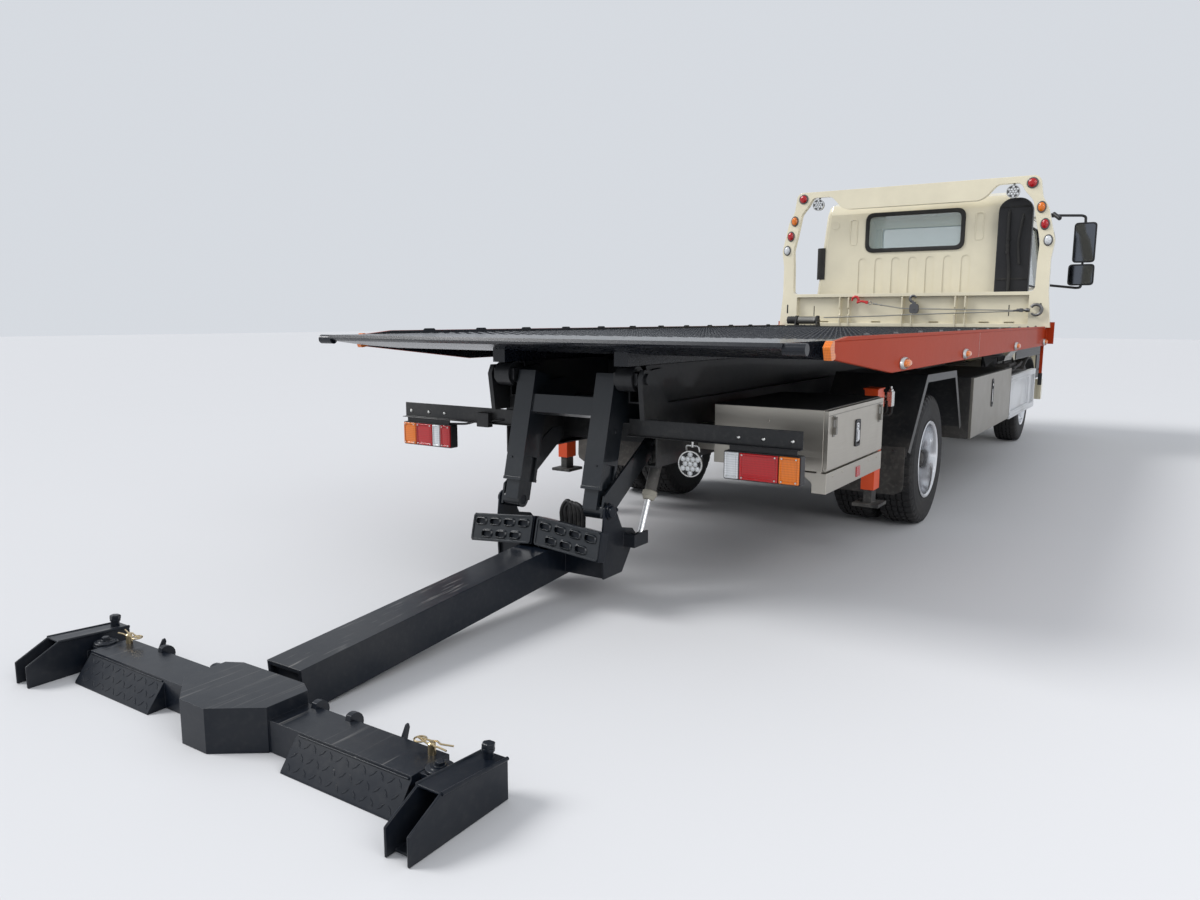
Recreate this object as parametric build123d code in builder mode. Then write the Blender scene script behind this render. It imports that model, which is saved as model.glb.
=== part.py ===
"""Flatbed recovery truck with a sliding, tilting deck, a rear mast and a folding wheel-lift boom."""
from build123d import *
import math
import os

# Millimetres. X is across, with +X the truck's left. The truck faces -Y, and +Z is up.
# The origin is on the ground at the middle of the whole length.
# Driving dimensions of the truck
wheelbase = 4475
front_overhang = 1105
rear_reach = 4290
rear_axle_y = (wheelbase + front_overhang - rear_reach) / 2
front_axle_y = rear_axle_y - wheelbase
ra = rear_axle_y
fa = front_axle_y

# Clearances
seat_gap = 0.3
run_gap = 0.05

# Wheels and tyres
tyre_radius = 398.5
tyre_width = 225
rim_radius = 222
rim_wall = 8
rim_lip = 237
front_track = 1676
rear_track = 1640
dual_spacing = 262
spindle_radius = 35
axle_shaft_radius = 45
kingpin_x = 690
kingpin_radius = 22

# Ladder frame
frame_half = 425
rail_flange = 60
rail_web = 7
rail_low = 600
rail_top = 800
rail_front = fa - 875
rail_rear = ra + 2250
sill_top = 880

# Deck
deck_half = 1250
deck_top = 1170
cab_rear = fa + 945
deck_front = cab_rear + 130
deck_tail = ra + 2700
deck_sheet = 6
pad_sheet = 6
pad_length = 330
skirt_height = 155
skirt_wall = 20
runner_low = 1050
runner_x = (300, 370)
tilt_pivot = (ra + 2340, 995)
roller_radius = 55
stub_radius = 25
tilt_front = deck_front + 200

# Pylon
pylon_y = (deck_front + 5, deck_front + 65)
headboard_top = 1500
hoop_top = 2520

# Cab
cab_half = 980
cab_wall = 40
cab_corner = 60
cab_front_y = fa - 1045
cab_roof = 2430
cab_floor = 870
cab_pivot = (fa - 975, 700)
door_gap = 8
door_front_gap = 11

# Mast and boom
mast_lean = math.radians(13.93)
mast_top = (ra + 2346, 1016)
mast_length = 515
leg_x = (168, 267)
leg_depth = 120
leg_wall = 8
mast_raise = 160
inner_start = 262
inner_end = 600
boom_slope = math.radians(4.5)
boom_half = 85
boom_height = 150
boom_wall = 10
boom_end = ra + 3900
crossbar_pin = (0, ra + 4020)
head_height = 140
arm_height = 100
arm_y = (ra + 3975, ra + 4115)
arm_x = (205, 780)
ear_x = 812
ear_radius = 42
ear_y = ra + 4045
fork_x = (862, 945)
fork_y = (ra + 3930, ra + 4290)
fork_top = (118, 135)


def slab(x, y, z, mode=Mode.ADD):
    """A block between a low and a high x, y and z."""
    with Locations(((x[0] + x[1]) / 2, (y[0] + y[1]) / 2, (z[0] + z[1]) / 2)):
        Box(abs(x[1] - x[0]), abs(y[1] - y[0]), abs(z[1] - z[0]), mode=mode)


def side_form(outline, x, mode=Mode.ADD):
    """An outline of y, z points carried from x[0] to x[1]."""
    with BuildSketch(Plane.YZ.offset(x[0])) as sketch:
        with BuildLine():
            Polyline(*outline, close=True)
        make_face()
    extrude(sketch.sketch, amount=x[1] - x[0], mode=mode)


def cross_form(outline, y, mode=Mode.ADD):
    """An outline of x, z points carried from y[0] to y[1]."""
    with BuildSketch(Plane.XZ.offset(-y[0])) as sketch:
        with BuildLine():
            Polyline(*outline, close=True)
        make_face()
    extrude(sketch.sketch, amount=y[0] - y[1], mode=mode)


def plan_form(outline, z, mode=Mode.ADD):
    """An outline of x, y points carried from z[0] to z[1]."""
    with BuildSketch(Plane.XY.offset(z[0])) as sketch:
        with BuildLine():
            Polyline(*outline, close=True)
        make_face()
    extrude(sketch.sketch, amount=z[1] - z[0], mode=mode)


def rounded_form(corners, y, mode=Mode.ADD):
    """An outline of x, z, corner radius points carried from y[0] to y[1]."""
    points = [(x, z) for x, z, _ in corners]
    with BuildSketch(Plane.XZ.offset(-y[0])) as sketch:
        with BuildLine():
            FilletPolyline(*points, radius=[radius for _, _, radius in corners], close=True)
        make_face()
    extrude(sketch.sketch, amount=y[0] - y[1], mode=mode)


def bar(start, end, radius, mode=Mode.ADD):
    """A round bar from start to end."""
    run = Vector(*end) - Vector(*start)
    with BuildSketch(Plane(origin=start, z_dir=run)) as sketch:
        Circle(radius)
    extrude(sketch.sketch, amount=run.length, mode=mode)


def turned(profile, x_centre, y, z, side, mode=Mode.ADD):
    """A ring turned about an axle along X from offset, radius points; side 1 is the left."""
    with BuildSketch(Plane(origin=(x_centre, y, z), x_dir=(side, 0, 0), z_dir=(0, 1, 0))) as sketch:
        with BuildLine():
            Polyline(*profile, close=True)
        make_face()
    axle = Axis((x_centre, y, z), (1, 0, 0))
    revolve(sketch.sketch, axis=axle, mode=mode)


def keep(solid, name):
    """Label a finished piece and write its STEP file."""
    solid.label = name
    export_step(solid, f"parts/{name}.step")


os.makedirs("parts", exist_ok=True)

# Ladder frame: two channel rails, cross members, sills and the rear pivot brackets
rail_section = [
    (frame_half, rail_low),
    (frame_half, rail_top),
    (frame_half - rail_flange, rail_top),
    (frame_half - rail_flange, rail_top - rail_web),
    (frame_half - rail_web, rail_top - rail_web),
    (frame_half - rail_web, rail_low + rail_web),
    (frame_half - rail_flange, rail_low + rail_web),
    (frame_half - rail_flange, rail_low),
]
cross_member_y = [fa - 820, fa + 1250, ra - 2200, ra - 1350, ra + 430, ra + 1150, ra + 1750]
sill_x = (frame_half - rail_flange, frame_half)
sill_front = tilt_front
bracket_x = (402, frame_half)
bracket_radius = 45
tilt_base_x = 200
tilt_base = (ra + 300, 700)
tilt_pin = 15
cab_ear_x = (frame_half, frame_half + 18)
cab_pin_radius = 15
bumper_back = fa - 1010
tow_plate_x = (370, 420)
tow_eye = (fa - 925, 520)
tow_radius = 15
with BuildPart() as chassis_frame:
    cross_form(rail_section, (rail_front, rail_rear))
    slab(sill_x, (sill_front, rail_rear), (rail_top, sill_top))
    side_form([
        (tilt_pivot[0] - 190, sill_top - 60),
        (tilt_pivot[0] + 20, sill_top - 60),
        (tilt_pivot[0] + bracket_radius, tilt_pivot[1]),
        (tilt_pivot[0] + 25, tilt_pivot[1] + 40),
        (tilt_pivot[0] - 25, tilt_pivot[1] + 40),
        (tilt_pivot[0] - 190, sill_top),
    ], bracket_x)
    bar((bracket_x[0], *tilt_pivot), (bracket_x[1], *tilt_pivot), stub_radius + run_gap, Mode.SUBTRACT)
    side_form([
        (rail_front + 120, rail_top - 20),
        (rail_front, rail_top - 20),
        (cab_pivot[0] - 30, cab_pivot[1] + 20),
        (cab_pivot[0] - 30, cab_pivot[1] - 30),
        (rail_front + 120, rail_low + 10),
    ], cab_ear_x)
    bar((cab_ear_x[0], *cab_pivot), (cab_ear_x[1], *cab_pivot), cab_pin_radius + run_gap, Mode.SUBTRACT)
    side_form([
        (bumper_back, 470), (bumper_back, rail_low - 30), (rail_front - 40, rail_low - 30), (rail_front, rail_low),
        (rail_front + 120, rail_low), (rail_front + 120, 470),
    ], tow_plate_x)
    bar((tow_plate_x[0], *tow_eye), (tow_plate_x[1], *tow_eye), tow_radius, Mode.SUBTRACT)
    mirror(about=Plane.YZ)
    for y in cross_member_y:
        slab((-frame_half + rail_web, frame_half - rail_web), (y - 30, y + 30), (rail_low + 30, rail_top - 25))
    for side in (-1, 1):
        bar((side * tilt_base_x - 34, *tilt_base), (side * tilt_base_x + 34, *tilt_base), tilt_pin)
        for cheek in (-1, 1):
            low = side * tilt_base_x + cheek * 34 - 6
            side_form([
                (ra + 410, rail_low + 60),
                (tilt_base[0] - 35, tilt_base[1] - 35),
                (tilt_base[0] - 35, tilt_base[1] + 35),
                (ra + 410, rail_top - 40),
            ], (low, low + 12))
keep(chassis_frame.part, "chassis_frame")

# Front axle: a dropped beam with a boss at each kingpin, on leaf springs
spring_x = (355, 425)
spring_eye = 620
spring_top = rail_low - seat_gap
boss_z = (350, 450)
axle_beam_z = (350, 405)
with BuildPart() as front_axle:
    slab((-kingpin_x + 30, kingpin_x - 30), (fa - 40, fa + 40), axle_beam_z)
    for side in (-1, 1):
        bar((side * kingpin_x, fa, boss_z[0]), (side * kingpin_x, fa, boss_z[1]), 40)
        bar((side * kingpin_x, fa, boss_z[0]), (side * kingpin_x, fa, boss_z[1]), kingpin_radius + run_gap,
            Mode.SUBTRACT)
        side_form([
            (fa - spring_eye, 560), (fa - spring_eye, spring_top), (fa - spring_eye + 50, spring_top),
            (fa - 120, 470), (fa + 120, 470), (fa + spring_eye - 50, spring_top),
            (fa + spring_eye, spring_top), (fa + spring_eye, 560), (fa + 120, 400), (fa - 120, 400),
        ], (side * spring_x[0], side * spring_x[1]))
keep(front_axle.part, "front_axle")

# Rear axle: a tube with its round drive case, on leaf springs
rear_spring_x = (365, 425)
axle_half = 545
tube_radius = 65
case_radius = 165
shaft_end = 985
axle_profile = [
    (-shaft_end, 0), (-shaft_end, axle_shaft_radius), (-axle_half, axle_shaft_radius), (-axle_half, tube_radius),
    (-190, tube_radius), (-120, 125), (-60, case_radius), (60, case_radius), (120, 125), (190, tube_radius),
    (axle_half, tube_radius), (axle_half, axle_shaft_radius), (shaft_end, axle_shaft_radius), (shaft_end, 0),
]
with BuildPart() as rear_axle:
    turned(axle_profile, 0, ra, tyre_radius, 1)
    for side in (-1, 1):
        side_form([
            (ra - 650, 560), (ra - 650, spring_top), (ra - 600, spring_top),
            (ra - 100, 560), (ra + 100, 560), (ra + 600, spring_top),
            (ra + 650, spring_top), (ra + 650, 560), (ra + 100, 440), (ra - 100, 440),
        ], (side * rear_spring_x[0], side * rear_spring_x[1]))
keep(rear_axle.part, "rear_axle")

# Engine and gearbox as one plain block
with BuildPart() as engine_block:
    slab((-270, 270), (fa - 520, fa + 620), (430, 840))
    slab((-170, 170), (fa + 620, fa + 1200), (450, 760))
    mount_end = frame_half - rail_web - seat_gap
    slab((-mount_end, mount_end), (fa - 90, fa - 20), (rail_low + 40, rail_low + 100))
    slab((-mount_end, mount_end), (fa + 900, fa + 970), (rail_low + 40, rail_low + 100))
keep(engine_block.part, "engine_block")

# Bumper across the front
bumper_y = (fa - front_overhang, bumper_back)
with BuildPart() as front_bumper:
    plan_form([
        (-1000, bumper_y[1] + 60), (-1000, bumper_y[0] + 60), (-900, bumper_y[0]), (900, bumper_y[0]),
        (1000, bumper_y[0] + 60), (1000, bumper_y[1] + 60), (960, bumper_y[1] + 60),
        (870, bumper_y[1] - seat_gap), (-870, bumper_y[1] - seat_gap), (-960, bumper_y[1] + 60),
    ], (360, 585))
    rounded_form([(-330, 420, 25), (330, 420, 25), (330, 500, 25), (-330, 500, 25)],
                 (bumper_y[0] - 5, bumper_y[0] + 60), Mode.SUBTRACT)
    for side in (-1, 1):
        bar((side * 640, bumper_y[0] - 5, 460), (side * 640, bumper_y[0] + 50, 460), 55, Mode.SUBTRACT)
keep(front_bumper.part, "front_bumper")

# Fuel tank on the left rail
with BuildPart() as fuel_tank:
    slab((frame_half + 40, 1060), (ra - 3330, ra - 2450), (430, 770))
    fillet(fuel_tank.edges().filter_by(Axis.Y), 60)
    for y in (ra - 3150, ra - 2650):
        slab((frame_half + seat_gap, frame_half + 60), (y - 25, y + 25), (620, 760))
keep(fuel_tank.part, "fuel_tank")

# Side guards: welded tube frames with a closing sheet
guard_y = (ra - 3400, ra - 2360)
guard_z = (430, 790)
guard_x = (1110, 1150)
with BuildPart() as side_guards:
    slab(guard_x, guard_y, guard_z)
    slab(guard_x, (guard_y[0] + 40, guard_y[1] - 40), (guard_z[0] + 60, guard_z[1] - 60), Mode.SUBTRACT)
    slab((guard_x[0] + 12, guard_x[0] + 16), (guard_y[0] + 30, guard_y[1] - 30), (guard_z[0] + 50, guard_z[1] - 50))
    for y in (guard_y[0] + 60, guard_y[1] - 60):
        slab((frame_half + seat_gap, guard_x[0] + 5), (y - 25, y + 25), (775, 790))
    mirror(about=Plane.YZ)
keep(side_guards.part, "side_guards")

# Toolboxes between the axles and the one behind the right rear wheels
mid_y = (ra - 2320, ra - 790)
mid_z = (440, 860)
mid_x = (600, 1150)
door_thick = 19
door_barrel = 8
box_wall = 4
with BuildPart() as mid_toolboxes:
    slab((mid_x[0], mid_x[1] - door_thick - seat_gap), mid_y, mid_z)
    slab((mid_x[0] + box_wall, mid_x[1]), (mid_y[0] + box_wall, mid_y[1] - box_wall),
         (mid_z[0] + box_wall, mid_z[1] - box_wall), Mode.SUBTRACT)
    for y in (mid_y[0] + 250, mid_y[1] - 250):
        slab((frame_half + seat_gap, mid_x[0]), (y - 30, y + 30), (640, 760))
    mirror(about=Plane.YZ)
keep(mid_toolboxes.part, "mid_toolboxes")

for name, side in (("left", 1), ("right", -1)):
    with BuildPart() as mid_door:
        mid_hinge = (side * (mid_x[1] - door_barrel), mid_z[0] + 1 + door_barrel)
        slab((side * (mid_x[1] - door_thick), side * mid_x[1]), (mid_y[0] + 3, mid_y[1] - 3),
             (mid_hinge[1], mid_z[1] - 3))
        bar((mid_hinge[0], mid_y[0] + 3, mid_hinge[1]), (mid_hinge[0], mid_y[1] - 3, mid_hinge[1]), door_barrel)
    keep(mid_door.part, f"mid_door_{name}")

tail_box_x = (-1100, -570)
tail_box_y = (ra + 1170, ra + 1980)
tail_box_z = (605, 870)
valance_low = 510
valance_top = tail_box_z[0] - 5
with BuildPart() as rear_toolbox:
    slab((tail_box_x[0] + door_thick + seat_gap, tail_box_x[1]), tail_box_y, tail_box_z)
    slab((tail_box_x[0], tail_box_x[1] - box_wall), (tail_box_y[0] + box_wall, tail_box_y[1] - box_wall),
         (tail_box_z[0] + box_wall, tail_box_z[1] - box_wall), Mode.SUBTRACT)
    slab((tail_box_x[0], tail_box_x[0] + 6), tail_box_y, (valance_low, valance_top))
    slab((tail_box_x[0], tail_box_x[0] + 45), tail_box_y, (valance_top - 6, valance_top))
    slab((tail_box_x[0] + 25, tail_box_x[0] + 45), tail_box_y, (valance_top - 6, tail_box_z[0] + box_wall))
    rounded_form([
        (tail_box_x[0], valance_low, 0), (tail_box_x[0] + 65, valance_low, 0),
        (tail_box_x[0] + 65, valance_top - 45, 25), (tail_box_x[0] + 120, valance_top - 6, 0),
        (tail_box_x[0] + 120, valance_top, 0), (tail_box_x[0], valance_top, 0),
    ], (tail_box_y[1] - 60, tail_box_y[1]))
    for y in (tail_box_y[0] + 150, tail_box_y[1] - 150):
        slab((tail_box_x[1], -frame_half - seat_gap), (y - 30, y + 30), (640, 760))
keep(rear_toolbox.part, "rear_toolbox")

tail_hinge = (tail_box_x[0] + door_barrel, tail_box_z[0] + 1 + door_barrel)
with BuildPart() as rear_toolbox_door:
    slab((tail_box_x[0], tail_box_x[0] + door_thick), (tail_box_y[0] + 3, tail_box_y[1] - 3),
         (tail_hinge[1], tail_box_z[1] - 3))
    bar((tail_hinge[0], tail_box_y[0] + 3, tail_hinge[1]), (tail_hinge[0], tail_box_y[1] - 3, tail_hinge[1]),
        door_barrel)
keep(rear_toolbox_door.part, "rear_toolbox_door")

# Rear wings: bent sheets over the twin wheels with a turned-down outer edge
wing_x = (565, 1105)
wing_outer = [
    (ra - 690, 540), (ra - 450, 925), (ra + 310, 935), (ra + 665, 530),
    (ra + 655, 526), (ra + 306, 925), (ra - 444, 915), (ra - 681, 535),
]
with BuildPart() as rear_wings:
    side_form(wing_outer, wing_x)
    side_form([
        (ra - 690, 540), (ra - 450, 925), (ra + 310, 935), (ra + 665, 530),
        (ra + 620, 515), (ra + 292, 890), (ra - 425, 880), (ra - 648, 522),
    ], (wing_x[1] - 4, wing_x[1]))
    for y in (ra - 430, ra + 280):
        slab((frame_half + seat_gap, wing_x[0] + 40), (y - 15, y + 15), (740, 770))
        slab((wing_x[0] + 10, wing_x[0] + 40), (y - 15, y + 15), (740, 922))
    mirror(about=Plane.YZ)
keep(rear_wings.part, "rear_wings")

with BuildPart() as mudflaps:
    slab((590, 1090), (ra + 665 + seat_gap, ra + 674), (160, 560))
    mirror(about=Plane.YZ)
keep(mudflaps.part, "mudflaps")

# Outriggers: an orange housing at each side on a cross beam, with a leg that slides down
post_x = (952, 1022)
post_y = (ra + 900, ra + 1000)
post_z = (360, 890)
post_wall = 7
slide_gap = 5
mouth = 50
mouth_in = slide_gap - seat_gap
with BuildPart() as outrigger_housings:
    slab(post_x, post_y, post_z)
    slab((post_x[0] + post_wall, post_x[1] - post_wall), (post_y[0] + post_wall, post_y[1] - post_wall),
         (post_z[0] + mouth, post_z[1] - post_wall), Mode.SUBTRACT)
    slab((post_x[0] + post_wall + mouth_in, post_x[1] - post_wall - mouth_in),
         (post_y[0] + post_wall + mouth_in, post_y[1] - post_wall - mouth_in), (post_z[0], post_z[0] + mouth + 1),
         Mode.SUBTRACT)
    slab((frame_half + seat_gap, post_x[0]), (post_y[0] + 10, post_y[1] - 10), (690, 790))
    mirror(about=Plane.YZ)
keep(outrigger_housings.part, "outrigger_housings")
for name, side in (("left", 1), ("right", -1)):
    with BuildPart() as outrigger_leg:
        slab((side * (post_x[0] + post_wall + slide_gap), side * (post_x[1] - post_wall - slide_gap)),
             (post_y[0] + post_wall + slide_gap, post_y[1] - post_wall - slide_gap), (285, 780))
        slab((side * (post_x[0] - 35), side * (post_x[1] + 35)), (post_y[0] - 25, post_y[1] + 25), (272, 290))
    keep(outrigger_leg.part, f"outrigger_leg_{name}")


def mast_plane(x, travel, depth=0):
    """A plane square to the leaning mast, travel down from the legs' tops, local y forward."""
    down = (0, math.sin(mast_lean), -math.cos(mast_lean))
    ahead = (0, -math.cos(mast_lean), -math.sin(mast_lean))
    origin = (
        x,
        mast_top[0] + travel * down[1] + depth * ahead[1],
        mast_top[1] + travel * down[2] + depth * ahead[2],
    )
    return Plane(origin=origin, x_dir=(1, 0, 0), z_dir=down)


def mast_block(x, depth, travel, mode=Mode.ADD):
    """A block in the mast's leaning frame."""
    with BuildSketch(mast_plane((x[0] + x[1]) / 2, travel[0], (depth[0] + depth[1]) / 2)) as sketch:
        Rectangle(abs(x[1] - x[0]), depth[1] - depth[0])
    extrude(sketch.sketch, amount=travel[1] - travel[0], mode=mode)


# Mast: fixed outer legs, cross member and side plates back to the frame
mast_plate_x = (leg_x[1] - 12, leg_x[1])
mast_slab_y = (ra + 1840, ra + 1900)
mast_slab_z = (785, 868)
elbow_boss = 36
lip = 4
with BuildPart() as mast_frame:
    for side in (-1, 1):
        leg = (side * leg_x[0], side * leg_x[1])
        bore = (side * (leg_x[0] + leg_wall), side * (leg_x[1] - leg_wall))
        mast_block(leg, (0, leg_depth), (0, mast_length))
        side_form([
            (ra + 2300, 795), (ra + 2258, 960), (ra + 2000, 960), (mast_slab_y[0], mast_slab_z[1]),
            (mast_slab_y[0], mast_slab_z[0]), (ra + 2150, mast_slab_z[0] - 10),
        ], (side * mast_plate_x[0], side * mast_plate_x[1]))
        mast_block(bore, (leg_wall, leg_depth - leg_wall), (leg_wall, mast_length - mouth), Mode.SUBTRACT)
        throat = (side * (leg_x[0] + leg_wall + mouth_in), side * (leg_x[1] - leg_wall - mouth_in))
        mast_block(throat, (leg_wall + mouth_in, leg_depth - leg_wall - mouth_in),
                   (mast_length - mouth - 1, mast_length), Mode.SUBTRACT)
        mast_block((side * (leg_x[0] - 1), side * (leg_x[1] + 1)),
                   (leg_depth / 2 - elbow_boss - slide_gap, leg_depth / 2 + elbow_boss + slide_gap),
                   (inner_end - mast_raise - elbow_boss - slide_gap, mast_length + 1), Mode.SUBTRACT)
        for depth in ((-lip, 0), (leg_depth, leg_depth + lip)):
            mast_block(leg, depth, (mast_length - 14, mast_length))
    mast_block((-leg_x[0], leg_x[0]), (10, leg_depth - 10), (109, 192))
    slab((-sill_x[0] + seat_gap, sill_x[0] - seat_gap), mast_slab_y, mast_slab_z)
keep(mast_frame.part, "mast_frame")

# Tail bar: a black channel behind the frame with the lamps under its ends
bar_half = 1098
lamp_x = (763, bar_half)
with BuildPart() as tail_bar:
    slab((-bar_half, bar_half), (ra + 2262, ra + 2266), (740, 812))
    slab((-bar_half, bar_half), (ra + 2262, ra + 2292), (736, 740))
    for side in (-1, 1):
        slab((side * 345, side * 425), (rail_rear + seat_gap, ra + 2264), (745, 800))
    slab((-290, 290), (ra + 2225, ra + 2330), (700, 830), Mode.SUBTRACT)
keep(tail_bar.part, "tail_bar")

with BuildPart() as tail_lamps:
    for side in (-1, 1):
        slab((side * lamp_x[0], side * lamp_x[1]), (ra + 2235, ra + 2290), (592, 712))
        slab((side * (lamp_x[0] + 20), side * (lamp_x[1] - 20)), (ra + 2266 + seat_gap, ra + 2274), (712, 735.7))
    bar((-610, ra + 2255, 640), (-610, ra + 2290, 640), 56)
    slab((-616, -604), (ra + 2268, ra + 2276), (690, 735.7))
keep(tail_lamps.part, "tail_lamps")

# Tilting sub-frame with its rear rollers on stub shafts
tilt_rail_x = (290, 380)
tilt_low = sill_top + seat_gap
tilt_eye = (ra - 700, 940)
with BuildPart() as tilt_frame:
    slab(tilt_rail_x, (tilt_front, tilt_pivot[0] - roller_radius - 12), (tilt_low, runner_low))
    slab((tilt_rail_x[0] + 8, tilt_rail_x[1] - 8), (tilt_front - 10, tilt_pivot[0] - roller_radius - 2),
         (tilt_low + 8, runner_low - 9), Mode.SUBTRACT)
    for x in (275, 380):
        side_form([
            (tilt_pivot[0] - 190, 905), (tilt_pivot[0] - 20, 940), (tilt_pivot[0] + 35, tilt_pivot[1] - 25),
            (tilt_pivot[0] + 35, tilt_pivot[1] + 25), (tilt_pivot[0] - 190, 1035),
        ], (x, x + 15))
    bar((tilt_rail_x[0] + 2, *tilt_pivot), (tilt_rail_x[1] - 2, *tilt_pivot), roller_radius)
    bar((275, *tilt_pivot), (bracket_x[1] + 10, *tilt_pivot), stub_radius)
    mirror(about=Plane.YZ)
    for y in (tilt_front + 60, ra - 2200, ra - 1300, ra - 550, ra + 600, ra + 1500):
        slab((-tilt_rail_x[0], tilt_rail_x[0]), (y - 40, y + 40), (952, 1030))
    for side in (-1, 1):
        for cheek in (-1, 1):
            low = side * tilt_base_x + cheek * 34 - 6
            side_form([
                (ra - 550, 940), (ra - 550, 1030), (tilt_eye[0] - 40, tilt_eye[1] + 45), (tilt_eye[0] - 40, 905),
            ], (low, low + 12))
keep(tilt_frame.part, "tilt_frame")

# Deck: chequered sheet on cross members and two runners, thinning to the tail
member_low = 1095
bed_top = deck_top + pad_sheet
tail_half = deck_half - 80
with BuildPart() as deck_platform:
    slab((-deck_half + skirt_wall + seat_gap, deck_half - skirt_wall - seat_gap),
         (deck_front, deck_tail - 450), (deck_top - deck_sheet, deck_top))
    slab((-deck_half + skirt_wall + seat_gap, deck_half - skirt_wall - seat_gap),
         (deck_front, deck_front + pad_length), (deck_top, bed_top))
    for side in (-1, 1):
        slab((side * runner_x[0], side * runner_x[1]), (deck_front, deck_tail - 420),
             (runner_low + seat_gap, deck_top - deck_sheet))
        slab((side * runner_x[0], side * runner_x[1]), (deck_tail - 440, deck_tail - 290),
             (runner_low + seat_gap, member_low + 25))
    for k in range(14):
        y = deck_front + 20 + k * 400
        slab((-deck_half + skirt_wall + seat_gap, deck_half - skirt_wall - seat_gap),
             (y, y + 50), (member_low, deck_top - deck_sheet))
    side_form([
        (deck_tail - 450, member_low), (deck_tail - 200, 1118), (deck_tail - 20, 1142), (deck_tail, 1156),
        (deck_tail - 6, deck_top), (deck_tail - 450, deck_top),
    ], (-tail_half, tail_half))
    for side in (-1, 1):
        bar((side * (tail_half - 5), deck_tail - 30, 1148), (side * deck_half, deck_tail - 30, 1148), 22)
keep(deck_platform.part, "deck_platform")

# Side skirts: orange plates along the deck, drawn up to a tip at the tail
skirt_low = deck_top - skirt_height
with BuildPart() as side_skirts:
    side_form([
        (deck_front, deck_top), (deck_front, skirt_low), (ra + 1600, skirt_low),
        (ra + 2430, deck_top - 62), (ra + 2450, deck_top - 20), (ra + 2400, deck_top),
    ], (deck_half - skirt_wall, deck_half))
    mirror(about=Plane.YZ)
keep(side_skirts.part, "side_skirts")

# Pylon: a plate hoop on the headboard at the deck's front
hoop_corners = [
    (deck_half + 37, bed_top, 0), (deck_half + 5, 1500, 150), (deck_half + 3, 1780, 150),
    (deck_half + 27, 1945, 150),
    (deck_half - 7, 2085, 150), (deck_half - 41, 2235, 150), (deck_half - 95, 2330, 120), (deck_half - 123, hoop_top, 65),
    (0, hoop_top, 0), (0, hoop_top - 190, 0), (deck_half - 600, hoop_top - 190, 150),
    (deck_half - 480, hoop_top - 58, 80),
    (deck_half - 285, hoop_top - 58, 60), (deck_half - 240, 2385, 80), (deck_half - 170, 2300, 100),
    (deck_half - 158, 2235, 150), (deck_half - 129, 2085, 150), (deck_half - 95, 1945, 150), (deck_half - 104, 1780, 150),
    (deck_half - 110, headboard_top, 40), (0, headboard_top, 0), (0, bed_top, 0),
]
headboard_rail = 32
headboard_skin = 8
with BuildPart() as pylon:
    rounded_form(hoop_corners, pylon_y)
    mirror(about=Plane.YZ)
    slab((-deck_half + 150, deck_half - 150), (pylon_y[0] + headboard_skin, pylon_y[1]),
         (bed_top + headboard_rail, headboard_top - headboard_rail), Mode.SUBTRACT)
    for x in (600, -20, -510):
        for step in (-45, 45):
            side_form([
                (pylon_y[0] + 4, bed_top), (pylon_y[1] + 12, bed_top), (pylon_y[1] + 12, 1290), (pylon_y[1] - 14, 1302),
                (pylon_y[1] - 14, 1348), (pylon_y[1] + 12, 1360), (pylon_y[1] + 12, headboard_top - 40),
                (pylon_y[0] + 4, headboard_top - 20),
            ], (x + step - 6, x + step + 6))
    for x in (-940, -720, -265, 290, 820, 980):
        slab((x - 45, x + 45), (pylon_y[0] - 1, pylon_y[1]), (1213, 1227), Mode.SUBTRACT)
keep(pylon.part, "pylon")

lamp_places = [
    (deck_half - 187, 2452, 38), (deck_half - 100, 2235, 36), (deck_half - 65, 2085, 36), (deck_half - 30, 1945, 34),
]
marker_y = (deck_front + 100, deck_front + 1650, deck_front + 3470, deck_front + 4820)
with BuildPart() as deck_lamps:
    for side in (-1, 1):
        for x, z, radius in lamp_places:
            bar((side * x, pylon_y[1] + seat_gap, z), (side * x, pylon_y[1] + 28, z), radius)
        for y in marker_y:
            bar((side * (deck_half + seat_gap), y, 1052), (side * (deck_half + 22), y, 1052), 28)
keep(deck_lamps.part, "deck_lamps")

winch_x = deck_half - 430
winch_y = pylon_y[1] + 150
drum_z = bed_top + 60
drum_profile = [
    (0, 0), (0, 46), (8, 46), (8, 30), (202, 30), (202, 46), (210, 46), (210, 38), (310, 38), (310, 0),
]
with BuildPart() as winch:
    turned(drum_profile, winch_x, winch_y, drum_z, 1)
    slab((winch_x - 12, winch_x + 300), (winch_y - 60, winch_y + 60), (bed_top + seat_gap, bed_top + 10))
    for low in (winch_x - 12, winch_x + 210):
        side_form([
            (winch_y - 55, bed_top + 5), (winch_y - 30, drum_z + 45), (winch_y + 30, drum_z + 45), (winch_y + 55, bed_top + 5),
        ], (low, low + 12))
keep(winch.part, "winch")

tackle_y = pylon_y[1] + 12 + seat_gap
with BuildPart() as deck_tackle:
    rounded_form([
        (-115, 1325, 25), (-55, 1325, 25), (-55, 1415, 25), (-115, 1415, 25),
    ], (tackle_y, tackle_y + 12))
    rounded_form([
        (-115, 1325, 25), (-55, 1325, 25), (-55, 1415, 25), (-115, 1415, 25),
    ], (tackle_y + 24, tackle_y + 36))
    bar((-85, tackle_y, 1370), (-85, tackle_y + 36, 1370), 24)
    with Locations(Location((-85, tackle_y + 18, 1440), (90, 0, 0))):
        Torus(28, 9)
    bar((440, tackle_y + 13, 1430), (560, tackle_y + 13, 1430), 13)
    bar((120 - deck_half, pylon_y[1] + 13 + seat_gap, 1330), (250 - deck_half, pylon_y[1] + 13 + seat_gap, 1330), 13)
keep(deck_tackle.part, "deck_tackle")

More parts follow.
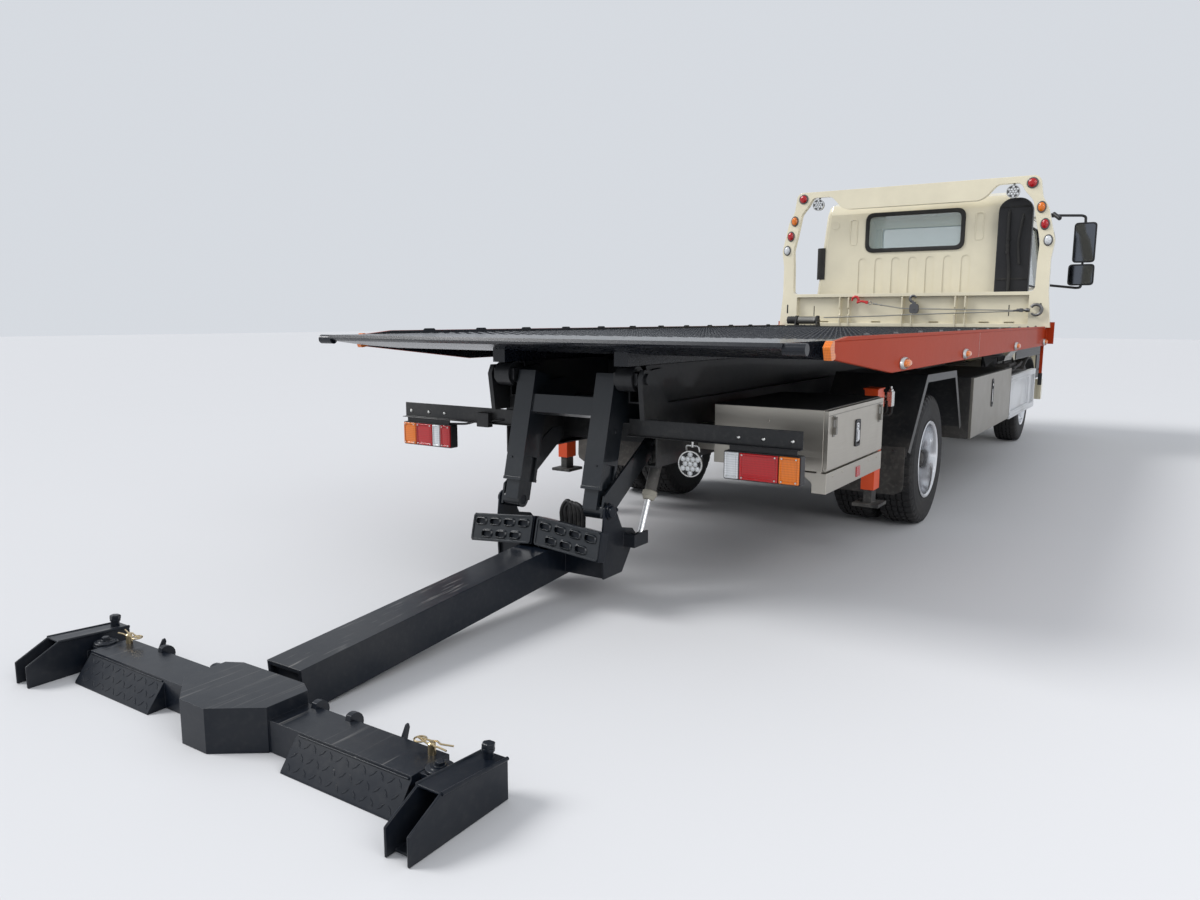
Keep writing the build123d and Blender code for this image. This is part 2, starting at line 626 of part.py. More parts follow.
# Cab: one skin cut into the shell, the front panel and the doors
nose = cab_front_y
cab_side = [
    (cab_rear, cab_floor), (cab_rear - 15, 2300), (cab_rear - 70, 2395), (cab_rear - 170, cab_roof),
    (fa - 560, cab_roof - 10), (fa - 760, cab_roof - 110), (nose + 20, 1500), (nose, 1380), (nose, 620),
    (fa - 520, 620), (fa - 480, cab_floor),
]
cab_side_inner = [
    (cab_rear - cab_wall, cab_floor + cab_wall), (cab_rear - cab_wall - 15, 2290),
    (cab_rear - cab_wall - 70, 2360), (cab_rear - cab_wall - 150, cab_roof - cab_wall),
    (fa - 545, cab_roof - cab_wall - 10), (fa - 725, cab_roof - cab_wall - 100),
    (nose + cab_wall + 22, 1490), (nose + cab_wall, 1380), (nose + cab_wall, cab_floor + cab_wall),
]
cab_cross = [(-cab_half, 600), (-cab_half, 1450), (-880, 2440), (880, 2440), (cab_half, 1450), (cab_half, 600)]
cab_cross_inner = [
    (-cab_half + cab_wall, 600), (-cab_half + cab_wall, 1450), (-880 + cab_wall, 2440),
    (880 - cab_wall, 2440), (cab_half - cab_wall, 1450), (cab_half - cab_wall, 600),
]
with BuildPart() as cab_space:
    side_form(cab_side_inner, (-1000, 1000))
    cross_form(cab_cross_inner, (fa - 1300, cab_rear + 100), Mode.INTERSECT)
with BuildPart() as cab_skin:
    side_form(cab_side, (-1000, 1000))
    cross_form(cab_cross, (fa - 1300, cab_rear + 100), Mode.INTERSECT)
    corners = [
        edge for edge in cab_skin.edges()
        if abs(edge.center().X) > 800 and abs(edge.tangent_at(0).X) < 0.5 and edge.bounding_box().max.Z > cab_floor + 5
        and (edge.bounding_box().size.Z > 1 or edge.center().Z > cab_roof - 60)
    ]
    fillet(corners, cab_corner)
    add(cab_space.part, mode=Mode.SUBTRACT)
    slab((-900, 900), (nose + cab_wall, fa - 400), (600, cab_floor), Mode.SUBTRACT)

door_outline = [
    (fa + 520, 960), (fa + 520, 1500), (fa + 400, 2270), (fa - 560, 2270), (fa - 850, 1500), (fa - 850, 960),
]
door_panel = [
    (fa + 520 - door_gap, 960 + door_gap), (fa + 520 - door_gap, 1500), (fa + 400 - door_gap, 2270 - door_gap),
    (fa - 555, 2270 - door_gap), (fa - 850 + door_front_gap, 1502), (fa - 850 + door_front_gap, 960 + door_gap),
]
door_window = [
    (fa + 400, 1580), (fa + 320, 2180), (fa - 500, 2180), (fa - 700, 1640), (fa - 700, 1580),
]
door_pane = [
    (fa + 400 - 0.4, 1580 + seat_gap), (fa + 320 - 0.4, 2180 - seat_gap), (fa - 500 + 0.2, 2180 - seat_gap),
    (fa - 700 + 0.4, 1640), (fa - 700 + 0.4, 1580 + seat_gap),
]
pane = 6
pane_inset = 9
side_knee = 1450
side_top = (880, 2440)
screen_foot = (nose + 20, 1500)
screen_head = (fa - 760, cab_roof - 110)


def side_x(z):
    """The cab side's outer x at a height above its knee."""
    return cab_half - (z - side_knee) * (cab_half - side_top[0]) / (side_top[1] - side_knee)


def screen_y(z):
    """The windscreen's outer y at a height."""
    return screen_foot[0] + (z - screen_foot[1]) * (screen_head[0] - screen_foot[0]) / (screen_head[1] - screen_foot[1])


knuckle_radius = 15
hinge_pin = 5
knuckle_z = (1080, 1380)
knuckle_step = 20


def hinge_bar(side, z, radius, mode=Mode.ADD):
    """A round bar on a door's hinge axis between two heights."""
    bar((side * door_hinge[0], door_hinge[1], z[0]), (side * door_hinge[0], door_hinge[1], z[1]), radius, mode)


def rear_y(z):
    """The cab's rear wall, outer y at a height up to the roof's bend."""
    return cab_rear - (z - cab_floor) * 15 / (2300 - cab_floor)


door_hinge = (cab_half + 2, fa - 852)
front_split = 1480
screen_low = 1540
screen_outline = [(-860, screen_low), (-790, 2300), (790, 2300), (860, screen_low)]
screen_pane = [
    (-860 + 2 * seat_gap, screen_low + seat_gap), (-790 + seat_gap, 2300 - seat_gap),
    (790 - seat_gap, 2300 - seat_gap), (860 - 2 * seat_gap, screen_low + seat_gap),
]
window_half = 446
window_z = (1940, 2270)
window_corner = 60
window_corners = [
    (-window_half, window_z[0], window_corner), (window_half, window_z[0], window_corner),
    (window_half, window_z[1], window_corner), (-window_half, window_z[1], window_corner),
]
window_pane = [
    (-window_half + seat_gap, window_z[0] + seat_gap, window_corner),
    (window_half - seat_gap, window_z[0] + seat_gap, window_corner),
    (window_half - seat_gap, window_z[1] - seat_gap, window_corner),
    (-window_half + seat_gap, window_z[1] - seat_gap, window_corner),
]
flute_step = 165
flute_half = 41
flute_z = (1440, 1856)
flute_depth = 7
with BuildPart() as cab_shell:
    add(cab_skin.part)
    for side in (-1, 1):
        side_form(door_outline, (side * 600, side * 1100), Mode.SUBTRACT)
    cross_form(screen_outline, (nose - 100, fa - 640), Mode.SUBTRACT)
    rounded_form(window_corners, (cab_rear - 200, cab_rear + 50), Mode.SUBTRACT)
    for k in range(-3, 4):
        x = k * flute_step
        rounded_form([
            (x - flute_half, flute_z[0], 12), (x + flute_half, flute_z[0], 12), (x + flute_half, flute_z[1], flute_half - 1),
            (x - flute_half, flute_z[1], flute_half - 1),
        ], (rear_y(1650) - flute_depth, cab_rear + 50), Mode.SUBTRACT)
    slab((-1100, 1100), (nose - 50, nose + cab_wall), (600, front_split), Mode.SUBTRACT)
    for side in (-1, 1):
        for z in knuckle_z:
            hinge_bar(side, (z, z + knuckle_step), knuckle_radius + 0.5, Mode.SUBTRACT)
            hinge_bar(side, (z + 2.5 * knuckle_step, z + 3.5 * knuckle_step), knuckle_radius + 0.5, Mode.SUBTRACT)
            hinge_bar(side, (z + knuckle_step, z + 2.5 * knuckle_step), knuckle_radius)
            hinge_bar(side, (z, z + 3.5 * knuckle_step), hinge_pin + run_gap, Mode.SUBTRACT)
    for side in (-1, 1):
        low = side * (cab_ear_x[1] + 5)
        slab((low, low + side * 15), (cab_pivot[0] - 25, cab_pivot[0] + 45), (cab_pivot[1] - 25, cab_floor + 10))
        bar((side * (cab_ear_x[0] + 2), *cab_pivot), (low, *cab_pivot), cab_pin_radius)
keep(cab_shell.part, "cab_shell")

with BuildPart() as cab_front:
    add(cab_skin.part)
    slab((-1100, 1100), (nose - 50, nose + cab_wall - seat_gap), (600, front_split - seat_gap), Mode.INTERSECT)
    slab((-500, 500), (nose + cab_wall / 2, nose + cab_wall), (600, cab_pivot[1] + 80), Mode.SUBTRACT)
    for z in (920, 990, 1060, 1130):
        rounded_form([(-560, z, 14), (560, z, 14), (560, z + 32, 14), (-560, z + 32, 14)], (nose - 5, nose + cab_wall + 5),
                     Mode.SUBTRACT)
keep(cab_front.part, "cab_front")

for name, side in (("left", 1), ("right", -1)):
    with BuildPart() as door:
        add(cab_skin.part)
        side_form(door_panel, (side * 600, side * 1100), Mode.INTERSECT)
        side_form(door_window, (side * 600, side * 1100), Mode.SUBTRACT)
        for z in knuckle_z:
            hinge_bar(side, (z + knuckle_step - seat_gap, z + 2.5 * knuckle_step + seat_gap),
                      knuckle_radius + 0.5, Mode.SUBTRACT)
            hinge_bar(side, (z + seat_gap, z + knuckle_step - seat_gap), knuckle_radius)
            hinge_bar(side, (z + 2.5 * knuckle_step + seat_gap, z + 3.5 * knuckle_step - seat_gap), knuckle_radius)
            for strap_z in (z + seat_gap, z + 2.5 * knuckle_step + seat_gap):
                slab((side * (cab_half - 14), side * cab_half), (fa - 849.5, fa - 825),
                     (strap_z, strap_z + knuckle_step - 2 * seat_gap))
            hinge_bar(side, (z + 5, z + 3.5 * knuckle_step - 5), hinge_pin)
    keep(door.part, f"door_{name}")
    with BuildPart() as glass:
        cross_form([
            (side * (side_x(1500) - pane_inset - pane), 1500), (side * (side_x(1500) - pane_inset), 1500),
            (side * (side_x(2300) - pane_inset), 2300), (side * (side_x(2300) - pane_inset - pane), 2300),
        ], (fa - 900, fa + 600))
        side_form(door_pane, (side * 600, side * 1100), Mode.INTERSECT)
    keep(glass.part, f"door_glass_{name}")

with BuildPart() as cab_glass:
    side_form([
        (screen_y(1500) + pane_inset, 1500), (screen_y(1500) + pane_inset + pane, 1500),
        (screen_y(2310) + pane_inset + pane, 2310), (screen_y(2310) + pane_inset, 2310),
    ], (-cab_half, cab_half))
    cross_form(screen_pane, (nose - 100, fa - 640), Mode.INTERSECT)
    rounded_form(window_pane, (cab_rear - 32, cab_rear - 26))
keep(cab_glass.part, "cab_glass")

with BuildPart() as headlamps:
    for side in (-1, 1):
        slab((side * 650, side * 930), (nose - 25, nose - seat_gap), (700, 860))
keep(headlamps.part, "headlamps")

with BuildPart() as dashboard:
    slab((-920, 920), (nose + cab_wall + 30, nose + 330), (cab_floor + cab_wall + seat_gap, 1430))
    bar((420, nose + 320, 1345), (420, nose + 486, 1450), 25)
    with BuildSketch(Plane(origin=(420, nose + 480, 1445), z_dir=(0, 0.84, 0.54))) as wheel_rim:
        Circle(225)
        Circle(195, mode=Mode.SUBTRACT)
        Rectangle(400, 40)
        Circle(50)
    extrude(wheel_rim.sketch, amount=24)
keep(dashboard.part, "dashboard")

with BuildPart() as seats:
    for side in (-1, 1):
        slab((side * 200, side * 800), (fa + 40, fa + 540), (cab_floor + cab_wall + seat_gap, 1300))
        slab((side * 200, side * 800), (fa + 540, fa + 700), (cab_floor + cab_wall + seat_gap, 1950))
keep(seats.part, "seats")

mirror_x = (1220, 1435)
intake_x = (-1065, -775)
mirror_y = fa - 830
with BuildPart() as mirrors:
    for side in (-1, 1):
        heads = ((mirror_x[0], mirror_x[1], (1850, 2270)), (mirror_x[0] - 30, mirror_x[1] + 5, (1610, 1835)))
        for low, high, z in heads:
            rounded_form([
                (side * low, z[0], 35), (side * high, z[0], 35), (side * high, z[1], 35), (side * low, z[1], 35),
            ], (mirror_y - 60, mirror_y))
        bar((side * 1320, mirror_y - 30, 1600), (side * 1320, mirror_y - 30, 2300), 12)
        for y, z in ((fa - 865, 1700), (fa - 640, 2320)):
            foot_x = side_x(z) + 2
            bar((side * foot_x, y, z), (side * (foot_x + 20), y, z), 16)
            bar((side * (foot_x + 12), y, z), (side * 1320, mirror_y - 30, z - 20), 12)
keep(mirrors.part, "mirrors")

with BuildPart() as air_intake:
    side_form([
        (rear_y(1400) + seat_gap, 1400), (rear_y(2300) + seat_gap, 2300), (cab_rear - 35, 2350),
        (cab_rear + 75, 2350), (cab_rear + 75, 1400),
    ], intake_x)
    rounded_form([
        (intake_x[0], 1400, 20), (intake_x[1], 1400, 20), (intake_x[1], 2350, 120), (intake_x[0], 2350, 120),
    ], (cab_rear - 100, cab_rear + 100), Mode.INTERSECT)
keep(air_intake.part, "air_intake")

# Wheels: a rounded tyre on a dished rim, offset and radius from each wheel's middle
tyre_half = tyre_width / 2
bead = rim_radius + seat_gap
hole_circle = 189
hole_radius = 19
tyre_profile = [
    (-tyre_half + 18, bead), (-tyre_half + 4, bead + 30), (-tyre_half, bead + 85), (-tyre_half + 6, tyre_radius - 28),
    (-tyre_half + 20, tyre_radius - 6), (-tyre_half + 40, tyre_radius), (tyre_half - 40, tyre_radius),
    (tyre_half - 20, tyre_radius - 6), (tyre_half - 6, tyre_radius - 28), (tyre_half, bead + 85), (tyre_half - 4, bead + 30),
    (tyre_half - 18, bead),
]


def rim_profile(hub_radius, disc):
    """A rim with its disc at an offset from the middle, open at the other side."""
    return [
        (-tyre_half + 4, rim_radius), (tyre_half - 8, rim_radius), (tyre_half - 8, rim_lip - 4), (tyre_half, rim_lip - 4),
        (tyre_half, rim_radius - 10), (disc + 10, rim_radius - rim_wall), (disc + 10, 165), (disc + 30, 140),
        (disc + 30, 100), (disc + 10, 95), (disc + 10, hub_radius), (disc - 40, hub_radius),
        (disc - 40, 60), (disc - 4, 95), (disc - 4, rim_radius - rim_wall), (-tyre_half + 4, rim_radius - rim_wall),
    ]


def hand_holes(x, y):
    """Eight round holes through a wheel's disc, about an axle along X."""
    for k in range(8):
        turn = math.radians(22.5 + 45 * k)
        place = (y + hole_circle * math.cos(turn), tyre_radius + hole_circle * math.sin(turn))
        bar((x - tyre_half, *place), (x + tyre_half, *place), hole_radius, Mode.SUBTRACT)


for name, side in (("left", 1), ("right", -1)):
    x = side * front_track / 2
    with BuildPart() as front_tyre:
        turned(tyre_profile, x, fa, tyre_radius, side)
    keep(front_tyre.part, f"front_tyre_{name}")
    with BuildPart() as front_rim:
        turned(rim_profile(spindle_radius + run_gap, 20), x, fa, tyre_radius, side)
        hand_holes(x, fa)
    keep(front_rim.part, f"front_rim_{name}")
    with BuildPart() as rear_tyres:
        for twin in (-1, 1):
            turned(tyre_profile, side * (rear_track + twin * dual_spacing) / 2, ra, tyre_radius, side)
    keep(rear_tyres.part, f"rear_tyres_{name}")
    with BuildPart() as rear_rims:
        for twin in (-1, 1):
            x = side * (rear_track + twin * dual_spacing) / 2
            turned(rim_profile(axle_shaft_radius + run_gap, -20 * twin), x, ra, tyre_radius, side * twin)
            hand_holes(x, ra)
    keep(rear_rims.part, f"rear_rims_{name}")
    with BuildPart() as knuckle:
        bar((side * kingpin_x, fa, 312), (side * kingpin_x, fa, 488), kingpin_radius)
        for z in ((315, 344), (456, 485)):
            slab((side * (kingpin_x - 30), side * 760), (fa - 30, fa + 30), z)
        slab((side * 738, side * 760), (fa - 60, fa + 60), (315, 485))
        bar((side * 738, fa, tyre_radius), (side * 868, fa, tyre_radius), spindle_radius)
    keep(knuckle.part, f"knuckle_{name}")

# Mast's sliding part: inner legs with bored feet, and plates forward to the cylinder's eye
inner_x = (leg_x[0] + leg_wall + slide_gap, leg_x[1] - leg_wall - slide_gap)
inner_depth = (leg_wall + slide_gap, leg_depth - leg_wall - slide_gap)
elbow = (
    mast_top[0] + inner_end * math.sin(mast_lean) - leg_depth / 2 * math.cos(mast_lean),
    mast_top[1] - inner_end * math.cos(mast_lean) - leg_depth / 2 * math.sin(mast_lean),
)
leg_plate_x = (272, 282)
elbow_plate_x = (287, 297)
barrel_eye = (ra + 2040, 680)
cylinder_x = -328
elbow_pin = 22
eye_pin = 16
with BuildPart() as mast_legs:
    for side in (-1, 1):
        mast_block((side * inner_x[0], side * inner_x[1]), inner_depth, (inner_start, inner_end))
        bar((side * inner_x[0], *elbow), (side * leg_plate_x[1], *elbow), elbow_boss)
        side_form([
            (elbow[0] + 40, elbow[1] - 20), (elbow[0] + 20, elbow[1] + 70), (barrel_eye[0] + 40, barrel_eye[1] + 34),
            (barrel_eye[0] - 30, barrel_eye[1] + 34), (barrel_eye[0] - 40, barrel_eye[1] - 30),
            (elbow[0] - 30, elbow[1] - 30),
        ], (side * leg_plate_x[0], side * leg_plate_x[1]))
        bar((side * inner_x[0], *elbow), (side * leg_plate_x[1], *elbow), elbow_pin + run_gap, Mode.SUBTRACT)
    bar((cylinder_x + 26, *barrel_eye), (-leg_plate_x[1], *barrel_eye), eye_pin)
    bar((cylinder_x - 27, *barrel_eye), (cylinder_x + 26, *barrel_eye), eye_pin)
keep(mast_legs.part, "mast_legs")

# Boom: a sloping box with its torsion shaft and crank, and the section that slides in it
boom_run = (0, math.cos(boom_slope), -math.sin(boom_slope))
boom_rise = (0, math.sin(boom_slope), math.cos(boom_slope))
boom_tip = (0, boom_end, boom_height / 2 / math.cos(boom_slope) + 0.5)
boom_length = (boom_end - elbow[0] + 17) / math.cos(boom_slope)
rod_eye = (ra + 2230, 270)


def boom_plane(back):
    """A plane square to the boom, back from its rear end, with local y up."""
    origin = tuple(boom_tip[i] - boom_run[i] * back for i in range(3))
    return Plane(origin=origin, x_dir=(1, 0, 0), z_dir=tuple(-value for value in boom_run))


def boom_block(half_width, up, back, mode=Mode.ADD):
    """A block in the boom's sloping frame, up and down from its middle line."""
    with BuildSketch(boom_plane(back[0])) as sketch:
        with Locations((0, (up[0] + up[1]) / 2)):
            Rectangle(2 * half_width, up[1] - up[0])
    extrude(sketch.sketch, amount=back[1] - back[0], mode=mode)


boom_up = (-boom_height / 2, boom_height / 2)
inner_half = boom_half - boom_wall - slide_gap
inner_up = (boom_up[0] + boom_wall + slide_gap, boom_up[1] - boom_wall - slide_gap)
pad_x = (8, 350)
pad_back = ra + 2570
pad_top = (390, 362)
pad_height = 127
pad_thick = 52
heel_z = (125, 262)
pad_face = Plane(
    origin=(0, pad_back, pad_top[0]), x_dir=(1, 0, 0), z_dir=(0, -math.cos(mast_lean), -math.sin(mast_lean)),
)
with BuildPart() as boom_outer:
    boom_block(boom_half, boom_up, (0, boom_length))
    slab((-elbow_plate_x[1], elbow_plate_x[1]), (ra + 2350, ra + 2470), heel_z)
    for side in (-1, 1):
        side_form([
            (ra + 2480, heel_z[0]), (ra + 2490, 300), (elbow[0] + 40, elbow[1] + 20), (elbow[0], elbow[1] + 40),
            (elbow[0] - 40, elbow[1] + 20), (ra + 2330, 330), (ra + 2240, 310), (ra + 2200, 270), (ra + 2240, 240),
            (ra + 2330, heel_z[0]),
        ], (side * elbow_plate_x[0], side * elbow_plate_x[1]))
        slab((side * 100, side * 260), (ra + 2440, pad_back - 10), (255, 300))
    boom_block(boom_half - boom_wall, (boom_up[0] + boom_wall, boom_up[1] - boom_wall), (60, 1240), Mode.SUBTRACT)
    boom_block(inner_half + seat_gap, (inner_up[0] - seat_gap, inner_up[1] + seat_gap), (0, 61), Mode.SUBTRACT)
    for side in (-1, 1):
        bar((side * (inner_x[0] + 2), *elbow), (side * elbow_plate_x[1], *elbow), elbow_pin)
    with BuildSketch(pad_face) as pads:
        for side in (-1, 1):
            with BuildLine():
                Polyline(
                    (side * pad_x[0], 0), (side * pad_x[0], -pad_height),
                    (side * pad_x[1], pad_top[1] - pad_top[0] - pad_height), (side * pad_x[1], pad_top[1] - pad_top[0]),
                    close=True,
                )
            make_face()
    extrude(pads.sketch, amount=pad_thick)
    slab((cylinder_x - 28, cylinder_x - 18), (rod_eye[0] - 30, rod_eye[0] + 90), (rod_eye[1] - 30, rod_eye[1] + 30))
    slab((cylinder_x - 28, -elbow_plate_x[0]), (rod_eye[0] + 60, rod_eye[0] + 90), (rod_eye[1] - 30, rod_eye[1] + 30))
keep(boom_outer.part, "boom_outer")

tongue_z = (45, 85)
with BuildPart() as boom_inner:
    boom_block(inner_half, inner_up, (15, 1220))
    slab((-55, 55), (boom_end - 60, crossbar_pin[1]), tongue_z)
    bar((0, crossbar_pin[1], tongue_z[0]), (0, crossbar_pin[1], tongue_z[1]), 55)
    bar((0, crossbar_pin[1], tongue_z[0]), (0, crossbar_pin[1], tongue_z[1]), 25 + run_gap, Mode.SUBTRACT)
keep(boom_inner.part, "boom_inner")

# Crossbar: head box on its upright pin, square arms, ramps and end ears
with BuildPart() as crossbar:
    plan_form([
        (-205, ra + 3975), (-150, ra + 3945), (150, ra + 3945), (205, ra + 3975), (205, ra + 4120),
        (60, ra + 4225), (-60, ra + 4225), (-205, ra + 4120),
    ], (1, head_height))
    plan_form([
        (-110, ra + 3900), (110, ra + 3900), (75, ra + 4010), (75, ra + 4080), (-75, ra + 4080), (-75, ra + 4010),
    ], (tongue_z[0] - 6, tongue_z[1] + 6), Mode.SUBTRACT)
    bar((0, crossbar_pin[1], 20), (0, crossbar_pin[1], head_height), 25)
    for side in (-1, 1):
        slab((side * arm_x[0], side * arm_x[1]), arm_y, (1, arm_height))
        side_form([
            (arm_y[1], arm_height - 10), (arm_y[1], 1), (arm_y[1] + 62, 1), (arm_y[1] + 60, 8),
        ], (side * 330, side * arm_x[1]))
        for z in ((1, 14), (82, arm_height - 2)):
            slab((side * (arm_x[1] - 40), side * ear_x), (ear_y - ear_radius, ear_y + ear_radius), z)
            bar((side * ear_x, ear_y, z[0]), (side * ear_x, ear_y, z[1]), ear_radius)
            bar((side * ear_x, ear_y, z[0]), (side * ear_x, ear_y, z[1]), 18 + run_gap, Mode.SUBTRACT)
        slab((side * (arm_x[1] - 50), side * (arm_x[1] + 100)), (ear_y - 80, ear_y + 80), (20, 76), Mode.SUBTRACT)
        slab((side * (arm_x[1] - 60), side * (arm_x[1] - 48)), arm_y, (1, arm_height))
keep(crossbar.part, "crossbar")

for name, side in (("left", 1), ("right", -1)):
    with BuildPart() as holder:
        bar((side * ear_x, ear_y, 3), (side * ear_x, ear_y, 106), 18)
        bar((side * ear_x, ear_y, 26), (side * ear_x, ear_y, 70), ear_radius)
        slab((side * ear_x, side * (fork_x[0] + 5)), (ear_y - ear_radius, ear_y + ear_radius), (26, 70))
        for low in (fork_x[0], fork_x[1] - 8):
            side_form([
                (fork_y[0], 1), (fork_y[0], fork_top[0]), (fork_y[0] + 250, fork_top[1]), (fork_y[1], 78), (fork_y[1], 1),
            ], (side * low, side * (low + 8)))
        slab((side * fork_x[0], side * fork_x[1]), (fork_y[0], fork_y[1] - 30), (1, 10))
        side_form([
            (fork_y[0], fork_top[0] - 8), (fork_y[0], fork_top[0]), (fork_y[0] + 250, fork_top[1]),
            (fork_y[0] + 250, fork_top[1] - 8),
        ], (side * fork_x[0], side * fork_x[1]))
        bar((side * (fork_x[0] + 41), fork_y[0] + 30, fork_top[0] - 5), (side * (fork_x[0] + 41), fork_y[0] + 30, 150), 14)
    keep(holder.part, f"holder_{name}")

# Boom cylinder: barrel from the leg plate, chrome rod to the elbow plate
rod_run = Vector(0, rod_eye[0] - barrel_eye[0], rod_eye[1] - barrel_eye[1])
rod_way = rod_run.normalized()
barrel_length = 260
barrel_radius = 27
rod_radius = 14
start = Vector(cylinder_x, *barrel_eye)
finish = Vector(cylinder_x, *rod_eye)
with BuildPart() as boom_cylinder_barrel:
    bar((cylinder_x - 24, *barrel_eye), (cylinder_x + 24, *barrel_eye), barrel_radius)
    bar(tuple(start + rod_way * 15), tuple(start + rod_way * barrel_length), barrel_radius)
    bar(tuple(start + rod_way * 38), tuple(start + rod_way * (barrel_length + 1)), rod_radius + run_gap, Mode.SUBTRACT)
    bar((cylinder_x - 30, *barrel_eye), (cylinder_x + 30, *barrel_eye), eye_pin + run_gap, Mode.SUBTRACT)
keep(boom_cylinder_barrel.part, "boom_cylinder_barrel")
with BuildPart() as boom_cylinder_rod:
    bar(tuple(start + rod_way * 45), tuple(finish - rod_way * 12), rod_radius)
    bar((cylinder_x - 12, *rod_eye), (cylinder_x + 12, *rod_eye), 22)
    bar((cylinder_x - 12, *rod_eye), (cylinder_x + 12, *rod_eye), 10, Mode.SUBTRACT)
keep(boom_cylinder_rod.part, "boom_cylinder_rod")

# Tilt cylinders: a pair from the frame to the tilting sub-frame
lift_run = Vector(0, tilt_eye[0] - tilt_base[0], tilt_eye[1] - tilt_base[1])
lift_way = lift_run.normalized()
lift_barrel = 620
lift_rod = 25
with BuildPart() as tilt_cylinder_barrels:
    for side in (-1, 1):
        foot = Vector(side * tilt_base_x, *tilt_base)
        bar((foot.X - 27, *tilt_base), (foot.X + 27, *tilt_base), 34)
        bar(tuple(foot + lift_way * 20), tuple(foot + lift_way * 90), 25)
        bar(tuple(foot + lift_way * 85), tuple(foot + lift_way * lift_barrel), 45)
        bar(tuple(foot + lift_way * 100), tuple(foot + lift_way * (lift_barrel + 1)), lift_rod + run_gap, Mode.SUBTRACT)
        bar((foot.X - 30, *tilt_base), (foot.X + 30, *tilt_base), tilt_pin + run_gap, Mode.SUBTRACT)
keep(tilt_cylinder_barrels.part, "tilt_cylinder_barrels")
with BuildPart() as tilt_cylinder_rods:
    for side in (-1, 1):
        foot = Vector(side * tilt_base_x, *tilt_base)
        head = Vector(side * tilt_base_x, *tilt_eye)
        bar(tuple(foot + lift_way * 110), tuple(head - lift_way * 15), lift_rod)
        bar((head.X - 27.7, *tilt_eye), (head.X + 27.7, *tilt_eye), 32)
keep(tilt_cylinder_rods.part, "tilt_cylinder_rods")
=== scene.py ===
import math

import bmesh
import bpy
from mathutils import Matrix, Vector


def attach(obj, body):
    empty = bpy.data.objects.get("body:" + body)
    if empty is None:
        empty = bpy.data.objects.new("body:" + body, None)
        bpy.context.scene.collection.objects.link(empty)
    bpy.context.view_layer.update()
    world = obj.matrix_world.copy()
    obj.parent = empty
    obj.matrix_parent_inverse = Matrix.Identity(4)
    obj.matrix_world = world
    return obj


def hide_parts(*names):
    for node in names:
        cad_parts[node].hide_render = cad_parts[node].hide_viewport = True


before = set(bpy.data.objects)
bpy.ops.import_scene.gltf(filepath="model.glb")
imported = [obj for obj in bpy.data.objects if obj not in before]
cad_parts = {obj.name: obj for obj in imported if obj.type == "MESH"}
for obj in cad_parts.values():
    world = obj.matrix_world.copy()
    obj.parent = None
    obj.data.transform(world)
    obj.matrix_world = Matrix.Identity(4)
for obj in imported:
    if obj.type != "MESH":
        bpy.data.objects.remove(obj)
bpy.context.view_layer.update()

# Metres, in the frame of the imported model: +X is the truck's left, it faces -Y, and +Z is up.
rear_axle = 0.645
front_axle = -3.83
sides = (("left", 1), ("right", -1))


# Ladder frame: two pressed channel rails with riveted cross members and sills, in satin black
# chassis paint. Road dust greys it, most of all low down.
class Value:
    """A shader value that adds, subtracts and multiplies like a number."""

    def __init__(self, finish, socket):
        self.finish = finish
        self.socket = socket

    def maths(self, operation, first, second):
        return self.finish.node("Math", {"operation": operation}, {0: first, 1: second})

    def __add__(self, other):
        return self.maths("ADD", self, other)

    def __sub__(self, other):
        return self.maths("SUBTRACT", self, other)

    def __rsub__(self, other):
        return self.maths("SUBTRACT", other, self)

    def __mul__(self, other):
        return self.maths("MULTIPLY", self, other)

    __radd__ = __add__
    __rmul__ = __mul__


class Finish:
    """A paint, metal or plastic, with the patterns that vary it over a piece."""

    def __init__(self, name, colour, roughness, metallic=0.0, slot=None, **fixed):
        self.material = bpy.data.materials.new(name)
        self.material.use_nodes = True
        self.tree = self.material.node_tree
        self.shader = self.tree.nodes["Principled BSDF"]
        self.slot = slot or name
        self.give("Base Color", colour)
        self.give("Roughness", roughness)
        self.give("Metallic", metallic)
        for socket, value in fixed.items():
            self.give(socket.replace("_", " "), value)
        self.place = self.node("TexCoord", out="Object")

    def put(self, socket, value):
        if isinstance(value, Value):
            self.tree.links.new(value.socket, socket)
        elif socket.type == "RGBA":
            socket.default_value = (*value[:3], 1.0)
        else:
            socket.default_value = value

    def give(self, name, value):
        """Set one of the surface shader's own sockets."""
        self.put(self.shader.inputs[name], value)

    def node(self, kind, settings=None, values=None, out=0):
        made = self.tree.nodes.new("ShaderNode" + kind)
        for name, value in (settings or {}).items():
            setattr(made, name, value)
        for name, value in (values or {}).items():
            self.put(made.inputs[name], value)
        return Value(self, made.outputs[out])

    def clouds(self, scale, detail=3.0, stretch=(1.0, 1.0, 1.0)):
        """Soft noise from 0 to 1, drawn out along an axis where its stretch is small."""
        place = self.node("Mapping", None, {"Vector": self.place, "Scale": stretch})
        return self.node("TexNoise", None, {"Vector": place, "Scale": scale, "Detail": detail})

    def ramp(self, value, low, high):
        """0 below low, 1 above high, and smooth between."""
        return self.node("MapRange", {"interpolation_type": "SMOOTHSTEP"},
                         {"Value": value, "From Min": low, "From Max": high})

    def over(self, mask, under, top):
        """One colour over another where the mask is 1."""
        return self.node("Mix", {"data_type": "RGBA"}, {0: mask, 6: under, 7: top}, out=2)

    def along(self, axis):
        """The place along one axis, in metres."""
        return self.node("SeparateXYZ", None, {0: self.place}, out=axis)

    def dent(self, height, depth):
        """Raise and lower the surface by a depth in metres."""
        self.give("Normal", self.node("Bump", None, {"Height": height, "Distance": depth}))


road_dust = (0.30, 0.28, 0.25)


